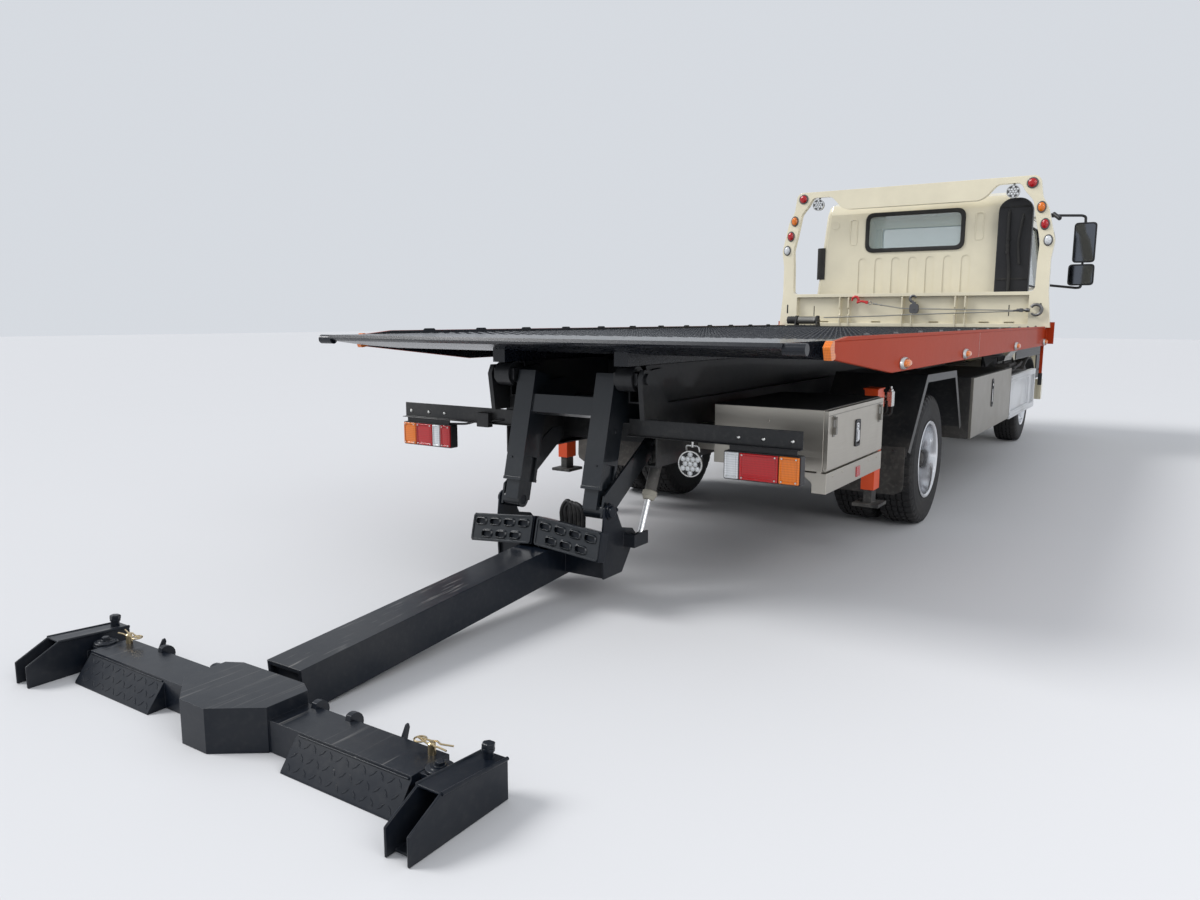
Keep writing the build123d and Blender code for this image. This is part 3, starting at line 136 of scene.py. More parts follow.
def paint(name, colour, roughness, dust, coat=0.0, peel=0.0001, scuffs_and_sheen=0.0, slot=None, gloss=0.5):
    """Sprayed paint with a slight unevenness, dust towards the road, and light streaks on its top faces that
    are partly scuffs and partly a painted highlight.
    """
    made = Finish(name, colour, roughness, slot=slot, Coat_Weight=coat, Coat_Roughness=0.06,
                  Specular_IOR_Level=gloss)
    low = 1.0 - made.ramp(made.along(2), 0.15, 1.2)
    patches = made.ramp(made.clouds(2.3, 5.0), 0.38, 0.72)
    specks = made.ramp(made.clouds(46.0, 4.0), 0.45, 0.75)
    veil = (low * 0.75 + 0.25) * (patches * 0.7 + specks * 0.3) * dust
    deep = tuple(c * 0.82 for c in colour)
    shade = made.over(made.clouds(5.0), deep, colour)
    # Light grey streaks on upward faces: partly scuffs, partly a painted highlight along the tops.
    if scuffs_and_sheen:
        upward = made.node("SeparateXYZ", None, {0: made.node("TexCoord", out="Normal")}, out=2)
        rubbed_and_sheen = made.ramp(made.clouds(70.0, 5.0, (1.0, 0.02, 1.0)), 0.58, 0.72) * made.ramp(upward, 0.6, 0.9)
        rubbed_and_sheen = rubbed_and_sheen * made.ramp(made.clouds(2.6, 3.0), 0.48, 0.66) * scuffs_and_sheen
        shade = made.over(rubbed_and_sheen, shade, (0.17, 0.17, 0.17))
        veil = veil + rubbed_and_sheen * 0.4
    made.give("Base Color", made.over(veil, shade, road_dust))
    made.give("Roughness", veil * 0.45 + made.clouds(30.0) * 0.08 + (roughness - 0.04))
    made.dent(made.clouds(380.0, 2.0), peel)
    return made


def soften(part, width, angle=35):
    """Round a piece's sharp edges and keep its flats flat."""
    bevel = part.modifiers.new("edge", "BEVEL")
    bevel.width = width
    bevel.segments = 2
    bevel.limit_method = "ANGLE"
    bevel.angle_limit = math.radians(angle)
    part.modifiers.new("shade", "WEIGHTED_NORMAL")


def dress(node, finish, edge=0.0015):
    """Give a solid of the frame its finish and break its sharp edges."""
    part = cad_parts[node]
    part.data.materials.clear()
    part.data.materials.append(finish.material)
    weld = part.modifiers.new("weld", "WELD")
    weld.merge_threshold = 0.00005
    flat = part.modifiers.new("flat", "DECIMATE")
    flat.decimate_type = "DISSOLVE"
    flat.angle_limit = math.radians(0.5)
    soften(part, edge)


def spot(point, axis, at):
    """A point of a plate's outline, set at a place along the axis that the plate is square to."""
    values = list(point)
    values.insert(axis, at)
    return values


def eased(points, radius, closed=True, steps=4):
    """A line of points with its corners rounded."""
    points = [Vector(point) for point in points]
    made = []
    for k, corner in enumerate(points):
        if not closed and k in (0, len(points) - 1):
            made.append(corner)
            continue
        before = points[k - 1] - corner
        after = points[(k + 1) % len(points)] - corner
        reach = min(radius, before.length * 0.49, after.length * 0.49)
        start = corner + before.normalized() * reach
        end = corner + after.normalized() * reach
        for n in range(steps + 1):
            t = n / steps
            made.append(start.lerp(corner, t).lerp(corner.lerp(end, t), t))
    return made


def ring(middle, wide, tall, steps=24, turn=0.0):
    """The points of an oval."""
    made = []
    for n in range(steps):
        angle = turn + 2 * math.pi * n / steps
        made.append((middle[0] + wide * math.cos(angle), middle[1] + tall * math.sin(angle)))
    return made


def oblong(middle, wide, tall, corner, steps=4):
    """The points of a rectangle with rounded corners."""
    x, y = middle
    return eased([(x - wide, y - tall), (x + wide, y - tall), (x + wide, y + tall), (x - wide, y + tall)],
                 corner, steps=steps)


class Form:
    """A mesh put together from blocks, plates, turned shapes and tubes."""

    def __init__(self):
        self.mesh = bmesh.new()

    def skin(self, rings, closed=True, ends=True):
        """Faces between rings of points, with the two ends filled."""
        rows = [[self.mesh.verts.new(point) for point in points] for points in rings]
        count = len(rows[0])
        for low, high in zip(rows, rows[1:]):
            for k in range(count if closed else count - 1):
                n = (k + 1) % count
                self.mesh.faces.new((low[k], low[n], high[n], high[k]))
        if ends:
            self.mesh.faces.new(rows[0][::-1])
            self.mesh.faces.new(rows[-1])

    def block(self, x, y, z):
        """A block between a low and a high x, y and z."""
        corners = ((x[0], y[0]), (x[1], y[0]), (x[1], y[1]), (x[0], y[1]))
        self.skin([[(a, b, c) for a, b in corners] for c in z])

    def plate(self, outline, axis, span):
        """An outline carried along an axis."""
        self.skin([[spot(point, axis, at) for point in outline] for at in span])

    def pierced(self, outline, holes, axis, span):
        """A plate with holes right through it."""
        edges = []
        for loop in (outline, *holes):
            corners = [self.mesh.verts.new(spot(point, axis, span[0])) for point in loop]
            for k, corner in enumerate(corners):
                edges.append(self.mesh.edges.new((corners[k - 1], corner)))
        filled = bmesh.ops.triangle_fill(self.mesh, use_beauty=True, edges=edges)["geom"]
        faces = [item for item in filled if isinstance(item, bmesh.types.BMFace)]
        pushed = bmesh.ops.extrude_face_region(self.mesh, geom=faces, use_keep_orig=True)["geom"]
        corners = [item for item in pushed if isinstance(item, bmesh.types.BMVert)]
        bmesh.ops.translate(self.mesh, vec=spot((0, 0), axis, span[1] - span[0]), verts=corners)

    def turned(self, profile, start, way, steps=28, tall=1.0, hollow=False):
        """A shape turned about an axle: points of distance along it and radius."""
        start = Vector(start)
        way = Vector(way).normalized()
        up = Vector((0.0, 0.0, 1.0)) if abs(way.z) < 0.9 else Vector((0.0, 1.0, 0.0))
        side = way.cross(up).normalized()
        up = side.cross(way)
        rows = []
        for along, radius in profile:
            rows.append([start + way * along + side * a + up * b * tall
                         for a, b in ring((0, 0), radius, radius, steps)])
        if hollow:
            rows.append(rows[0])
        self.skin(rows, ends=not hollow)

    def tube(self, path, radius, steps=10):
        """A round bar, pipe or hose along a path, with one radius or one for each point."""
        path = [Vector(point) for point in path]
        radii = radius if isinstance(radius, list) else [radius] * len(path)
        up = (path[1] - path[0]).orthogonal().normalized()
        rows = []
        for k, point in enumerate(path):
            way = (path[min(k + 1, len(path) - 1)] - path[max(k - 1, 0)]).normalized()
            side = way.cross(up).normalized()
            up = side.cross(way)
            rows.append([point + side * a + up * b for a, b in ring((0, 0), radii[k], radii[k], steps)])
        self.skin(rows)

    def bolt(self, place, way, size=0.012):
        """A hexagon bolt head on its washer."""
        self.turned([(0, size * 1.3), (size * 0.2, size * 1.3), (size * 0.2, size * 0.9)], place, way, 16)
        self.turned([(0, size), (size * 0.75, size), (size * 0.9, size * 0.82)], place, way, 6)


def piece(name, form, finish, body, edge=0.0, angle=35, replaces=()):
    """Make a form a piece that rides on a body."""
    bmesh.ops.remove_doubles(form.mesh, verts=form.mesh.verts, dist=0.00001)
    bmesh.ops.recalc_face_normals(form.mesh, faces=form.mesh.faces)
    mesh = bpy.data.meshes.new(name)
    form.mesh.to_mesh(mesh)
    form.mesh.free()
    mesh.shade_smooth()
    mesh.set_sharp_from_angle(angle=math.radians(angle))
    mesh.materials.append(finish.material)
    made = bpy.data.objects.new(name, mesh)
    bpy.context.scene.collection.objects.link(made)
    if edge:
        soften(made, edge, angle)
    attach(made, body)
    if replaces:
        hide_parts(*replaces)
    return made


frame_black = paint("frame_black", (0.012, 0.013, 0.015), 0.38, dust=0.25, coat=0.1, gloss=0.35)
dress("chassis_frame", frame_black)
rail_side = 0.425
rail_bolts = Form()
for y in (-4.65, -2.58, -1.555, -0.705, 1.075, 1.795, 2.395):
    for name, side in sides:
        for step in (-0.018, 0.018):
            for z in (0.66, 0.745):
                rail_bolts.bolt((side * rail_side, y + step, z), (side, 0, 0), 0.009)
piece("rail_bolts", rail_bolts, frame_black, "chassis")

# Axles, springs and steering knuckles: forgings and castings in thin black paint, dusty and
# rough. They are bolted under the frame and carry the wheels.
cast_black = paint("cast_black", (0.02, 0.02, 0.021), 0.6, dust=0.6, peel=0.0004, gloss=0.4)
for node in ("front_axle", "rear_axle", "knuckle_left", "knuckle_right"):
    dress(node, cast_black, 0.003)
spring_ties = Form()
for side in (-1, 1):
    for y, low, high in ((front_axle, 0.395, 0.475), (rear_axle, 0.435, 0.565)):
        for step in (-0.055, 0.055):
            for x in (0.345, 0.435):
                spring_ties.tube([(side * x, y + step, low - 0.03), (side * x, y + step, high)], 0.007)
            spring_ties.tube([(side * 0.345, y + step, high), (side * 0.435, y + step, high)], 0.007)
            spring_ties.block((side * 0.39 - 0.055, side * 0.39 + 0.055), (y + step - 0.012, y + step + 0.012),
                              (low - 0.012, low))
piece("spring_ties", spring_ties, cast_black, "chassis")

# Tyres: radial truck tyres with ribbed sidewalls, four zigzag grooves and notched shoulders.
# The front pair is ribbed, and the twin rears have cross cuts. They are seated on the rims.
tyre_reach = 0.3985
tyre_wall = [
    (0.0945, 0.2226), (0.1005, 0.233), (0.108, 0.25), (0.1108, 0.257), (0.11, 0.262), (0.1118, 0.28),
    (0.1124, 0.3), (0.1124, 0.32), (0.1112, 0.34), (0.1118, 0.344), (0.1098, 0.349), (0.107, 0.364),
]
tyre_shoulder = [(0.103, 0.379), (0.096, 0.3905), (0.086, 0.3945)]
groove_places = (-0.052, -0.018, 0.018, 0.052)
groove_edges = ((-0.0045, 0.0), (-0.003, 0.011), (0.003, 0.011), (0.0045, 0.0))
tread_pitches = 44
pitch_steps = ((0.0, 0, -1), (0.66, 0, 1), (0.71, 1, 1), (0.95, 1, -1))


def tyre(form, x, y, cross_cut):
    """A tyre about an axle along X, with the depth of the cuts across its ribs."""
    rows = []
    for pitch in range(tread_pitches):
        for part, cut, way in pitch_steps:
            half = tyre_wall + [(a, r - 0.007 * cut) for a, r in tyre_shoulder]
            tread = []
            for middle in groove_places:
                for a, deep in groove_edges:
                    reach = tyre_reach - 8 * middle * middle * 0.05 - max(deep, cut * cross_cut)
                    tread.append((middle + 0.0025 * way + a, reach))
            section = [(-a, r) for a, r in half] + tread + half[::-1]
            angle = 2 * math.pi * (pitch + part) / tread_pitches
            rows.append([(x + a, y + r * math.sin(angle), tyre_reach + r * math.cos(angle))
                         for a, r in section])
    form.skin(rows + [rows[0]], ends=False)


tyre_rubber = Finish("tyre_black", (0.011, 0.011, 0.012), 0.75, Specular_IOR_Level=0.3)
tyre_dust = tyre_rubber.ramp(tyre_rubber.clouds(5.0, 5.0), 0.4, 0.75) * 0.5
tyre_grit = tyre_rubber.ramp(tyre_rubber.clouds(90.0, 4.0), 0.5, 0.75) * 0.25
tyre_rubber.give("Base Color",
                 tyre_rubber.over(tyre_dust * 0.4 + tyre_grit, (0.011, 0.011, 0.012), (0.09, 0.083, 0.075)))
tyre_rubber.give("Roughness", tyre_dust * 0.25 + 0.62)
tyre_rubber.dent(tyre_rubber.clouds(420.0, 3.0), 0.0002)
front_x = 0.838
rear_x = 0.82
twin_gap = 0.131
for name, side in sides:
    front_tyre = Form()
    tyre(front_tyre, side * front_x, front_axle, 0.0)
    piece("ribbed_tyre_" + name, front_tyre, tyre_rubber, "wheel_front_" + name,
          replaces=["front_tyre_" + name])
    rear_tyres = Form()
    for twin in (-1, 1):
        tyre(rear_tyres, side * (rear_x + twin * twin_gap), rear_axle, 0.006)
    piece("cut_tyres_" + name, rear_tyres, tyre_rubber, "wheels_rear_" + name, replaces=["rear_tyres_" + name])


# Rims: bright polished steel with a deep barrel, a disc with eight hand holes, and six wheel nuts.
# The hubs are black castings that show through the middle.
def metal(name, colour, roughness, grain=(1.0, 1.0, 1.0), dust=0.2, slot=None, brush=0.18):
    """Bare metal with grain along one way, and dust that dulls it."""
    made = Finish(name, colour, roughness, 1.0, slot=slot)
    lines = made.clouds(160.0, 4.0, grain)
    stain = made.ramp(made.clouds(3.0, 5.0), 0.45, 0.8) * dust
    made.give("Base Color", made.over(stain, colour, road_dust))
    made.give("Roughness", lines * brush + stain * 0.3 + (roughness - brush / 2))
    made.give("Metallic", 1.0 - stain)
    made.dent(lines, 0.0003 * brush)
    return made


chrome = metal("rim_bright", (0.74, 0.75, 0.77), 0.15, dust=0.12, brush=0.04)
rim_barrel = [
    (-0.1085, 0.222), (0.1045, 0.222), (0.1055, 0.234), (0.109, 0.238), (0.1125, 0.234), (0.1125, 0.228),
    (0.107, 0.216), (0.095, 0.2115), (-0.1085, 0.2115),
]
hand_holes = [ring((0.158 * math.sin(k * math.pi / 4), 0.158 * math.cos(k * math.pi / 4)), 0.019, 0.019, 16)
              for k in range(8)]


def rim(form, x, y, out, disc):
    """A rim about an axle along X, open on the out side, with its disc at an offset that way."""
    form.turned(rim_barrel, (x, y, tyre_reach), (out, 0, 0), 72, hollow=True)
    holes = [[(y + a, tyre_reach + b) for a, b in hole] for hole in hand_holes]
    middle = ring((y, tyre_reach), 0.06, 0.06, 32)
    face = x + out * disc
    form.pierced(ring((y, tyre_reach), 0.212, 0.212, 72), holes + [middle], 0, (face, face - out * 0.012))
    form.turned([(0.0, 0.136), (0.008, 0.13), (0.008, 0.074), (0.0, 0.07)], (face, y, tyre_reach),
                (out, 0, 0), 48, hollow=True)
    form.turned([(-0.03, 0.2113), (0.0, 0.2113), (0.002, 0.196), (0.0, 0.19)], (face, y, tyre_reach),
                (out, 0, 0), 72, hollow=True)
    for k in range(6):
        angle = (k + 0.5) * math.pi / 3
        nut = (face + out * 0.008, y + 0.1 * math.sin(angle), tyre_reach + 0.1 * math.cos(angle))
        form.turned([(0, 0.021), (0.006, 0.021), (0.006, 0.017)], nut, (out, 0, 0), 16)
        form.turned([(0, 0.018), (0.022, 0.018), (0.028, 0.012)], nut, (out, 0, 0), 6)


def hub(form, x, y, out, length, bolts):
    """A hub that stands out through the disc, with a ring of small bolts on its flange."""
    form.turned([(-0.09, 0.058), (length - 0.01, 0.058), (length, 0.052), (length, 0.044),
                 (length + 0.012, 0.03)],
                (x, y, tyre_reach), (out, 0, 0), 32)
    for k in range(bolts):
        angle = 2 * math.pi * k / bolts
        place = (x + out * length, y + 0.047 * math.sin(angle), tyre_reach + 0.047 * math.cos(angle))
        form.turned([(0, 0.007), (0.008, 0.007)], place, (out, 0, 0), 6)


for name, side in sides:
    front_rim = Form()
    rim(front_rim, side * front_x, front_axle, side, 0.035)
    piece("front_wheel_" + name, front_rim, chrome, "wheel_front_" + name, replaces=["front_rim_" + name])
    rear_rims = Form()
    rim(rear_rims, side * (rear_x + twin_gap), rear_axle, side, -0.02)
    rim(rear_rims, side * (rear_x - twin_gap), rear_axle, -side, -0.02)
    piece("rear_wheels_" + name, rear_rims, chrome, "wheels_rear_" + name, replaces=["rear_rims_" + name])
    front_hub = Form()
    hub(front_hub, side * (front_x + 0.035), front_axle, side, 0.05, 6)
    piece("front_hub_" + name, front_hub, cast_black, "wheel_front_" + name, edge=0.002)
    rear_hub = Form()
    hub(rear_hub, side * (rear_x + twin_gap - 0.02), rear_axle, side, 0.085, 8)
    rear_hub.turned([(-0.03, 0.19), (0.06, 0.19), (0.07, 0.18), (0.07, 0.06), (-0.03, 0.06)],
                    (side * (rear_x - twin_gap), rear_axle, tyre_reach), (side, 0, 0), 48, hollow=True)
    piece("rear_hub_" + name, rear_hub, cast_black, "wheels_rear_" + name, edge=0.002)

# Engine and gearbox: grey castings under the cab, hung between the rails on their mounts. They show
# from below, so only their outline is made.
engine_grey = paint("engine_grey", (0.2, 0.2, 0.21), 0.6, dust=0.8, peel=0.0004)
dress("engine_block", engine_grey, 0.006)

# Fuel tank: a pressed steel tank on two brackets of the left rail, held by straps, with a filler
# neck and a round cap.
dress("fuel_tank", frame_black, 0.004)
tank_straps = Form()
for y in (-2.505, -2.005):
    band = eased([(0.462, 0.4275), (1.0625, 0.4275), (1.0625, 0.7725), (0.462, 0.7725)], 0.063, steps=8)
    inner = eased([(0.466, 0.431), (1.059, 0.431), (1.059, 0.769), (0.466, 0.769)], 0.06, steps=8)
    tank_straps.pierced(band, [inner], 1, (y - 0.022, y + 0.022))
    tank_straps.bolt((1.0625, y, 0.6), (1, 0, 0), 0.008)
tank_straps.turned([(0, 0.045), (0.02, 0.045), (0.02, 0.052), (0.045, 0.052), (0.05, 0.044)],
                   (0.9, -1.88, 0.768), (0.25, 0, 1), 24)
piece("tank_straps", tank_straps, frame_black, "chassis", edge=0.001)

# Side guards: bare aluminium rails and posts with a plain sheet behind them, on brackets of the
# frame. The two rails run on towards the cab.
aluminium = metal("bare_aluminium", (0.68, 0.69, 0.7), 0.36, (1.0, 0.04, 1.0), dust=0.35)
dress("side_guards", aluminium, 0.004)
guard_ribs = Form()
guard_ends = (-2.755, -1.715)
for side in (-1, 1):
    face = side * 1.15
    for z in (0.447, 0.473, 0.747, 0.773):
        guard_ribs.block((face - side * 0.001, face + side * 0.005),
                         (guard_ends[0] + 0.002, guard_ends[1] - 0.002), (z - 0.006, z + 0.006))
    for z in ((0.43, 0.478), (0.742, 0.79)):
        guard_ribs.block((face - side * 0.04, face), (-3.08, guard_ends[0] - 0.0005), z)
    guard_ribs.block((face - side * 0.038, face - side * 0.001), (-3.08, -3.04), (0.477, 0.743))
    guard_ribs.block((face - side * 0.026, face - side * 0.023), (-3.06, guard_ends[0] - 0.001), (0.47, 0.75))
piece("guard_ribs", guard_ribs, aluminium, "chassis", edge=0.002)

# Hand controls: a bank of hydraulic valves on a shelf over each side guard, with a row of levers
# and the hoses that run to the frame. The levers are fixed here.
shelf_ends = (-2.72, -1.75)
valve_bank = Form()
valve_levers = Form()
valve_hoses = Form()
for side in (-1, 1):
    valve_bank.block((side * 0.9, side * 1.12), shelf_ends, (0.7905, 0.797))
    valve_bank.block((side * 0.9, side * 0.906), shelf_ends, (0.795, 0.99))
    for k in range(6):
        y = -2.42 + k * 0.062
        valve_bank.block((side * 0.955, side * 1.07), (y - 0.027, y + 0.027), (0.797, 0.868))
        valve_bank.turned([(0, 0.014), (0.02, 0.014), (0.026, 0.008)], (side * 1.02, y, 0.868), (0, 0, 1), 16)
        valve_levers.tube([(side * 1.02, y, 0.89), (side * 1.03, y, 0.93), (side * 1.075, y, 0.985)], 0.0045, 8)
        valve_levers.turned([(0, 0.006), (0.012, 0.011), (0.026, 0.011), (0.032, 0.005)],
                            (side * 1.072, y, 0.98), (side * 0.6, 0, 0.75), 14)
        valve_levers.turned([(0, 0.01), (0.018, 0.01)], (side * 0.97, y, 0.868), (0, 0, 1), 6)
        valve_hoses.tube(eased([(side * 0.97, y, 0.88), (side * 0.97, y, 0.93),
                                (side * (0.95 - 0.008 * k), y + 0.22, 0.935),
                                (side * (0.935 - 0.004 * k), -1.72, 0.86 + 0.014 * k)], 0.06, False), 0.008)
        valve_hoses.tube(eased([(side * 1.06, y, 0.82), (side * 1.1, y, 0.84),
                                (side * 1.09, y - 0.2, 0.88 - 0.01 * k),
                                (side * (0.94 + 0.01 * k), -2.71, 0.83 + 0.014 * k)], 0.05, False), 0.007)
piece("valve_bank", valve_bank, cast_black, "chassis", edge=0.002)
zinc = metal("fitting_zinc", (0.66, 0.66, 0.64), 0.28, dust=0.2, slot="tackle_steel", brush=0.1)
piece("valve_levers", valve_levers, zinc, "chassis")
hose_rubber = paint("hose_rubber", (0.016, 0.016, 0.017), 0.55, dust=0.3, slot="black_rubber", gloss=0.4)
piece("valve_hoses", valve_hoses, hose_rubber, "chassis")

# Front bumper: one cream steel pressing on the front ends of the rails. Its fog lamps, slot bars
# and blank plate are fitted with the cab front.
cream = paint("cab_cream", (0.83, 0.76, 0.57), 0.24, dust=0.08, coat=0.7)
dress("front_bumper", cream, 0.012)

# Toolboxes: the mid boxes are black sheet with brushed stainless doors hinged at the bottom, and a
# slotted paddle latch in each door. The doors' steel is a darker copy of the brushed steel: painted shade.
box_black = paint("box_black", (0.013, 0.013, 0.014), 0.45, dust=0.3, gloss=0.4)
brushed = metal("brushed_steel", (0.5, 0.47, 0.415), 0.36, (0.04, 0.04, 1.0), dust=0.3)
# The mid doors' steel is painted darker than the brushed steel of the same slot, as painted shade.
shaded_door_steel = metal("shaded_door_steel", (0.3, 0.282, 0.25), 0.4, (1.0, 0.04, 0.04), dust=0.3, slot="brushed_steel")
plastic = paint("cab_trim", (0.012, 0.012, 0.014), 0.42, dust=0.12, peel=0.0002, gloss=0.4)
dress("mid_toolboxes", box_black, 0.003)
latch_y = -0.86
latch_z = 0.71
for name, side in sides:
    dress("mid_door_" + name, shaded_door_steel, 0.002)
    face = side * 1.15
    latch = Form()
    latch.pierced(oblong((latch_y, latch_z), 0.032, 0.105, 0.03, 6),
                  [oblong((latch_y, latch_z), 0.017, 0.085, 0.015, 6)], 0, (face, face + side * 0.005))
    latch.plate(oblong((latch_y, latch_z), 0.018, 0.086, 0.015, 6), 0,
                (face - side * 0.002, face + side * 0.0008))
    piece("mid_latch_" + name, latch, plastic, "mid_door_" + name, edge=0.001)
    paddle = Form()
    paddle.plate(oblong((latch_y, latch_z - 0.02), 0.011, 0.05, 0.01, 5), 0, (face, face + side * 0.004))
    paddle.turned([(0, 0.01), (0.006, 0.01), (0.006, 0.004)], (face, latch_y, latch_z + 0.06), (side, 0, 0), 20)
    paddle.tube([(side * 1.142, -1.67, 0.449), (side * 1.142, -0.15, 0.449)], 0.0045)
    piece("mid_paddle_" + name, paddle, zinc, "mid_door_" + name, edge=0.001)

# The rear toolbox is brushed stainless all round, with a thin black sheet over its top as painted shade
# under the deck, two draw latches in steel darkened as painted shade, a black recessed handle and a blank
# red reflector. It hangs behind the right wheels.
dress("rear_toolbox", brushed, 0.003)
dress("rear_toolbox_door", brushed, 0.002)
box_side = -1.1
box_ends = (1.815, 2.625)
# A black sheet over the whole top of the box: painted shade under the deck.
box_top_shade = Form()
box_top_shade.block((-1.0805, -0.571), (box_ends[0] + 0.002, box_ends[1] - 0.002), (0.8695, 0.8725))
piece("rear_box_top_shade", box_top_shade, box_black, "chassis", edge=0.001)
hinge_line = Form()
for k in range(27):
    y = box_ends[0] + 0.004 + k * 0.03
    hinge_line.turned([(0, 0.0083), (0.026, 0.0083)], (-1.092, y, 0.614), (0, 1, 0), 14)
for y in (1.9, 2.03, 2.41, 2.54):
    hinge_line.turned([(0, 0.006), (0.002, 0.005), (0.003, 0.002)], (box_side, y, 0.58), (-1, 0, 0), 12)
hinge_line.turned([(0, 0.007), (0.003, 0.005)], (-0.83, box_ends[1], 0.81), (0, 1, 0), 12)
piece("rear_box_hinge", hinge_line, brushed, "chassis", edge=0.0008)
# The draw latches are stainless; their steel is painted darker as shade.
shaded_latch_steel = metal("shaded_latch_steel", (0.24, 0.23, 0.21), 0.34, dust=0.3, slot="tackle_steel", brush=0.1)
draw_latches = Form()
for y in (box_ends[0] + 0.07, box_ends[1] - 0.07):
    draw_latches.block((box_side - 0.003, box_side), (y - 0.014, y + 0.014), (0.752, 0.842))
    draw_latches.block((box_side - 0.014, box_side - 0.003), (y - 0.011, y + 0.011), (0.762, 0.792))
    draw_latches.tube([(box_side - 0.011, y - 0.008, 0.785), (box_side - 0.011, y - 0.008, 0.838),
                       (box_side - 0.011, y + 0.008, 0.838), (box_side - 0.011, y + 0.008, 0.785)], 0.0022, 8)
    draw_latches.block((box_side - 0.009, box_side - 0.003), (y - 0.009, y + 0.009), (0.826, 0.836))
draw_latches.block((box_side - 0.0015, box_side), (box_ends[0] + 0.004, box_ends[1] - 0.004), (0.845, 0.8475))
piece("draw_latches", draw_latches, shaded_latch_steel, "rear_box_door", edge=0.0008)
grip = Form()
grip_y = 2.225
grip_z = 0.735
grip.pierced(oblong((grip_y, grip_z), 0.034, 0.062, 0.012), [oblong((grip_y, grip_z), 0.024, 0.05, 0.008)], 0,
             (box_side, box_side - 0.006))
grip.plate(oblong((grip_y, grip_z), 0.025, 0.051, 0.008), 0, (box_side + 0.001, box_side - 0.001))
piece("rear_box_grip", grip, plastic, "rear_box_door", edge=0.001)
grip_paddle = Form()
grip_paddle.plate(oblong((grip_y, 0.738), 0.02, 0.044, 0.007), 0, (box_side - 0.001, box_side - 0.004))
grip_paddle.plate(oblong((grip_y, 0.724), 0.014, 0.024, 0.006), 0, (box_side - 0.004, box_side - 0.009))
grip_paddle.turned([(0, 0.008), (0.004, 0.008), (0.004, 0.003)], (box_side - 0.004, grip_y, 0.765),
                   (-1, 0, 0), 18)
piece("rear_box_paddle", grip_paddle, chrome, "rear_box_door", edge=0.0012)


def lens_finish(name, colour, slot):
    """A moulded lamp lens: clear-coated colour over a fine pattern of prisms."""
    made = Finish(name, colour, 0.16, slot=slot, Coat_Weight=0.5, Coat_Roughness=0.03, Specular_IOR_Level=0.4)
    flutes = made.node("TexWave", {"bands_direction": "X"}, {"Vector": made.place, "Scale": 55.0})
    bars = made.node("TexWave", {"bands_direction": "Z"}, {"Vector": made.place, "Scale": 32.0})
    prisms = flutes * 0.65 + bars * 0.35
    deep = tuple(c * 0.6 for c in colour)
    made.give("Base Color", made.over(prisms, deep, colour))
    made.give("Roughness", prisms * 0.06 + 0.12)
    made.dent(prisms, 0.0005)
    return made


red = lens_finish("lamp_red", (0.5, 0.004, 0.008), "lamp_red")
amber = lens_finish("lamp_amber", (0.85, 0.2, 0.006), "lamp_amber")
clear = lens_finish("lamp_clear", (0.76, 0.78, 0.8), "lamp_clear")
badge = Form()
badge.plate(oblong((2.19, 0.55), 0.0275, 0.024, 0.004), 0, (-1.0999, -1.1035))
piece("box_reflector", badge, red, "chassis", edge=0.0005)

# Rear wings: bent black sheet over each pair of twins, bolted to two arms, with a rubber flap.
dress("rear_wings", frame_black, 0.002)
rubber = paint("black_rubber", (0.014, 0.014, 0.014), 0.7, dust=0.4, peel=0.0003, gloss=0.35)
flap_bar = Form()
for name, side in sides:
    flap = Form()
    rows = []
    for k in range(13):
        z = 0.555 - 0.27 * k / 12
        drop = max(0.0, 0.335 - z) / 0.05
        inset = 0.05 * (1 - math.sqrt(max(0.0, 1 - drop * drop)))
        y = 1.311 + 0.006 * (k / 12) ** 2
        low = 0.591 + inset * 0.98
        high = 1.089 - inset * 0.98
        rows.append([(side * low, y, z), (side * high, y, z), (side * high, y + 0.007, z),
                     (side * low, y + 0.007, z)])
    flap.skin(rows)
    piece("rubber_flap_" + name, flap, rubber, "chassis", edge=0.0015)
    flap_bar.block((side * 0.585, side * 1.095), (1.306, 1.3105), (0.5, 0.545))
    for x in (0.65, 0.84, 1.03):
        flap_bar.bolt((side * x, 1.3185, 0.53), (0, 1, 0), 0.008)
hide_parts("mudflaps")
piece("flap_bars", flap_bar, frame_black, "chassis", edge=0.001)

# Outriggers: orange posts welded to a cross beam, with a cylinder inside and its hoses at the top
# of the post. The black leg ends in a square foot.
# A darker copy of the orange paint for the skirts, their lips and corners: painted shade.
shaded_orange = paint("signal_orange", (0.38, 0.040, 0.011), 0.38, dust=0.03, coat=0.1, gloss=0.02)
post_orange = paint("post_orange", (0.72, 0.075, 0.012), 0.34, dust=0.04, coat=0.1,
                    slot="signal_orange", gloss=0.3)
dress("outrigger_housings", post_orange, 0.006)
post_middle = (0.987, 1.595)
for name, side in sides:
    dress("outrigger_leg_" + name, cast_black, 0.003)
outrigger_caps = Form()
for side in (-1, 1):
    x = side * post_middle[0]
    y = post_middle[1]
    outrigger_caps.block((x - 0.042, x + 0.042), (y - 0.056, y + 0.056), (0.8895, 0.897))
    outrigger_caps.block((x - 0.03, x + 0.03), (y - 0.09, y - 0.049), (0.79, 0.87))
piece("outrigger_caps", outrigger_caps, post_orange, "chassis", edge=0.003)
outrigger_valves = Form()
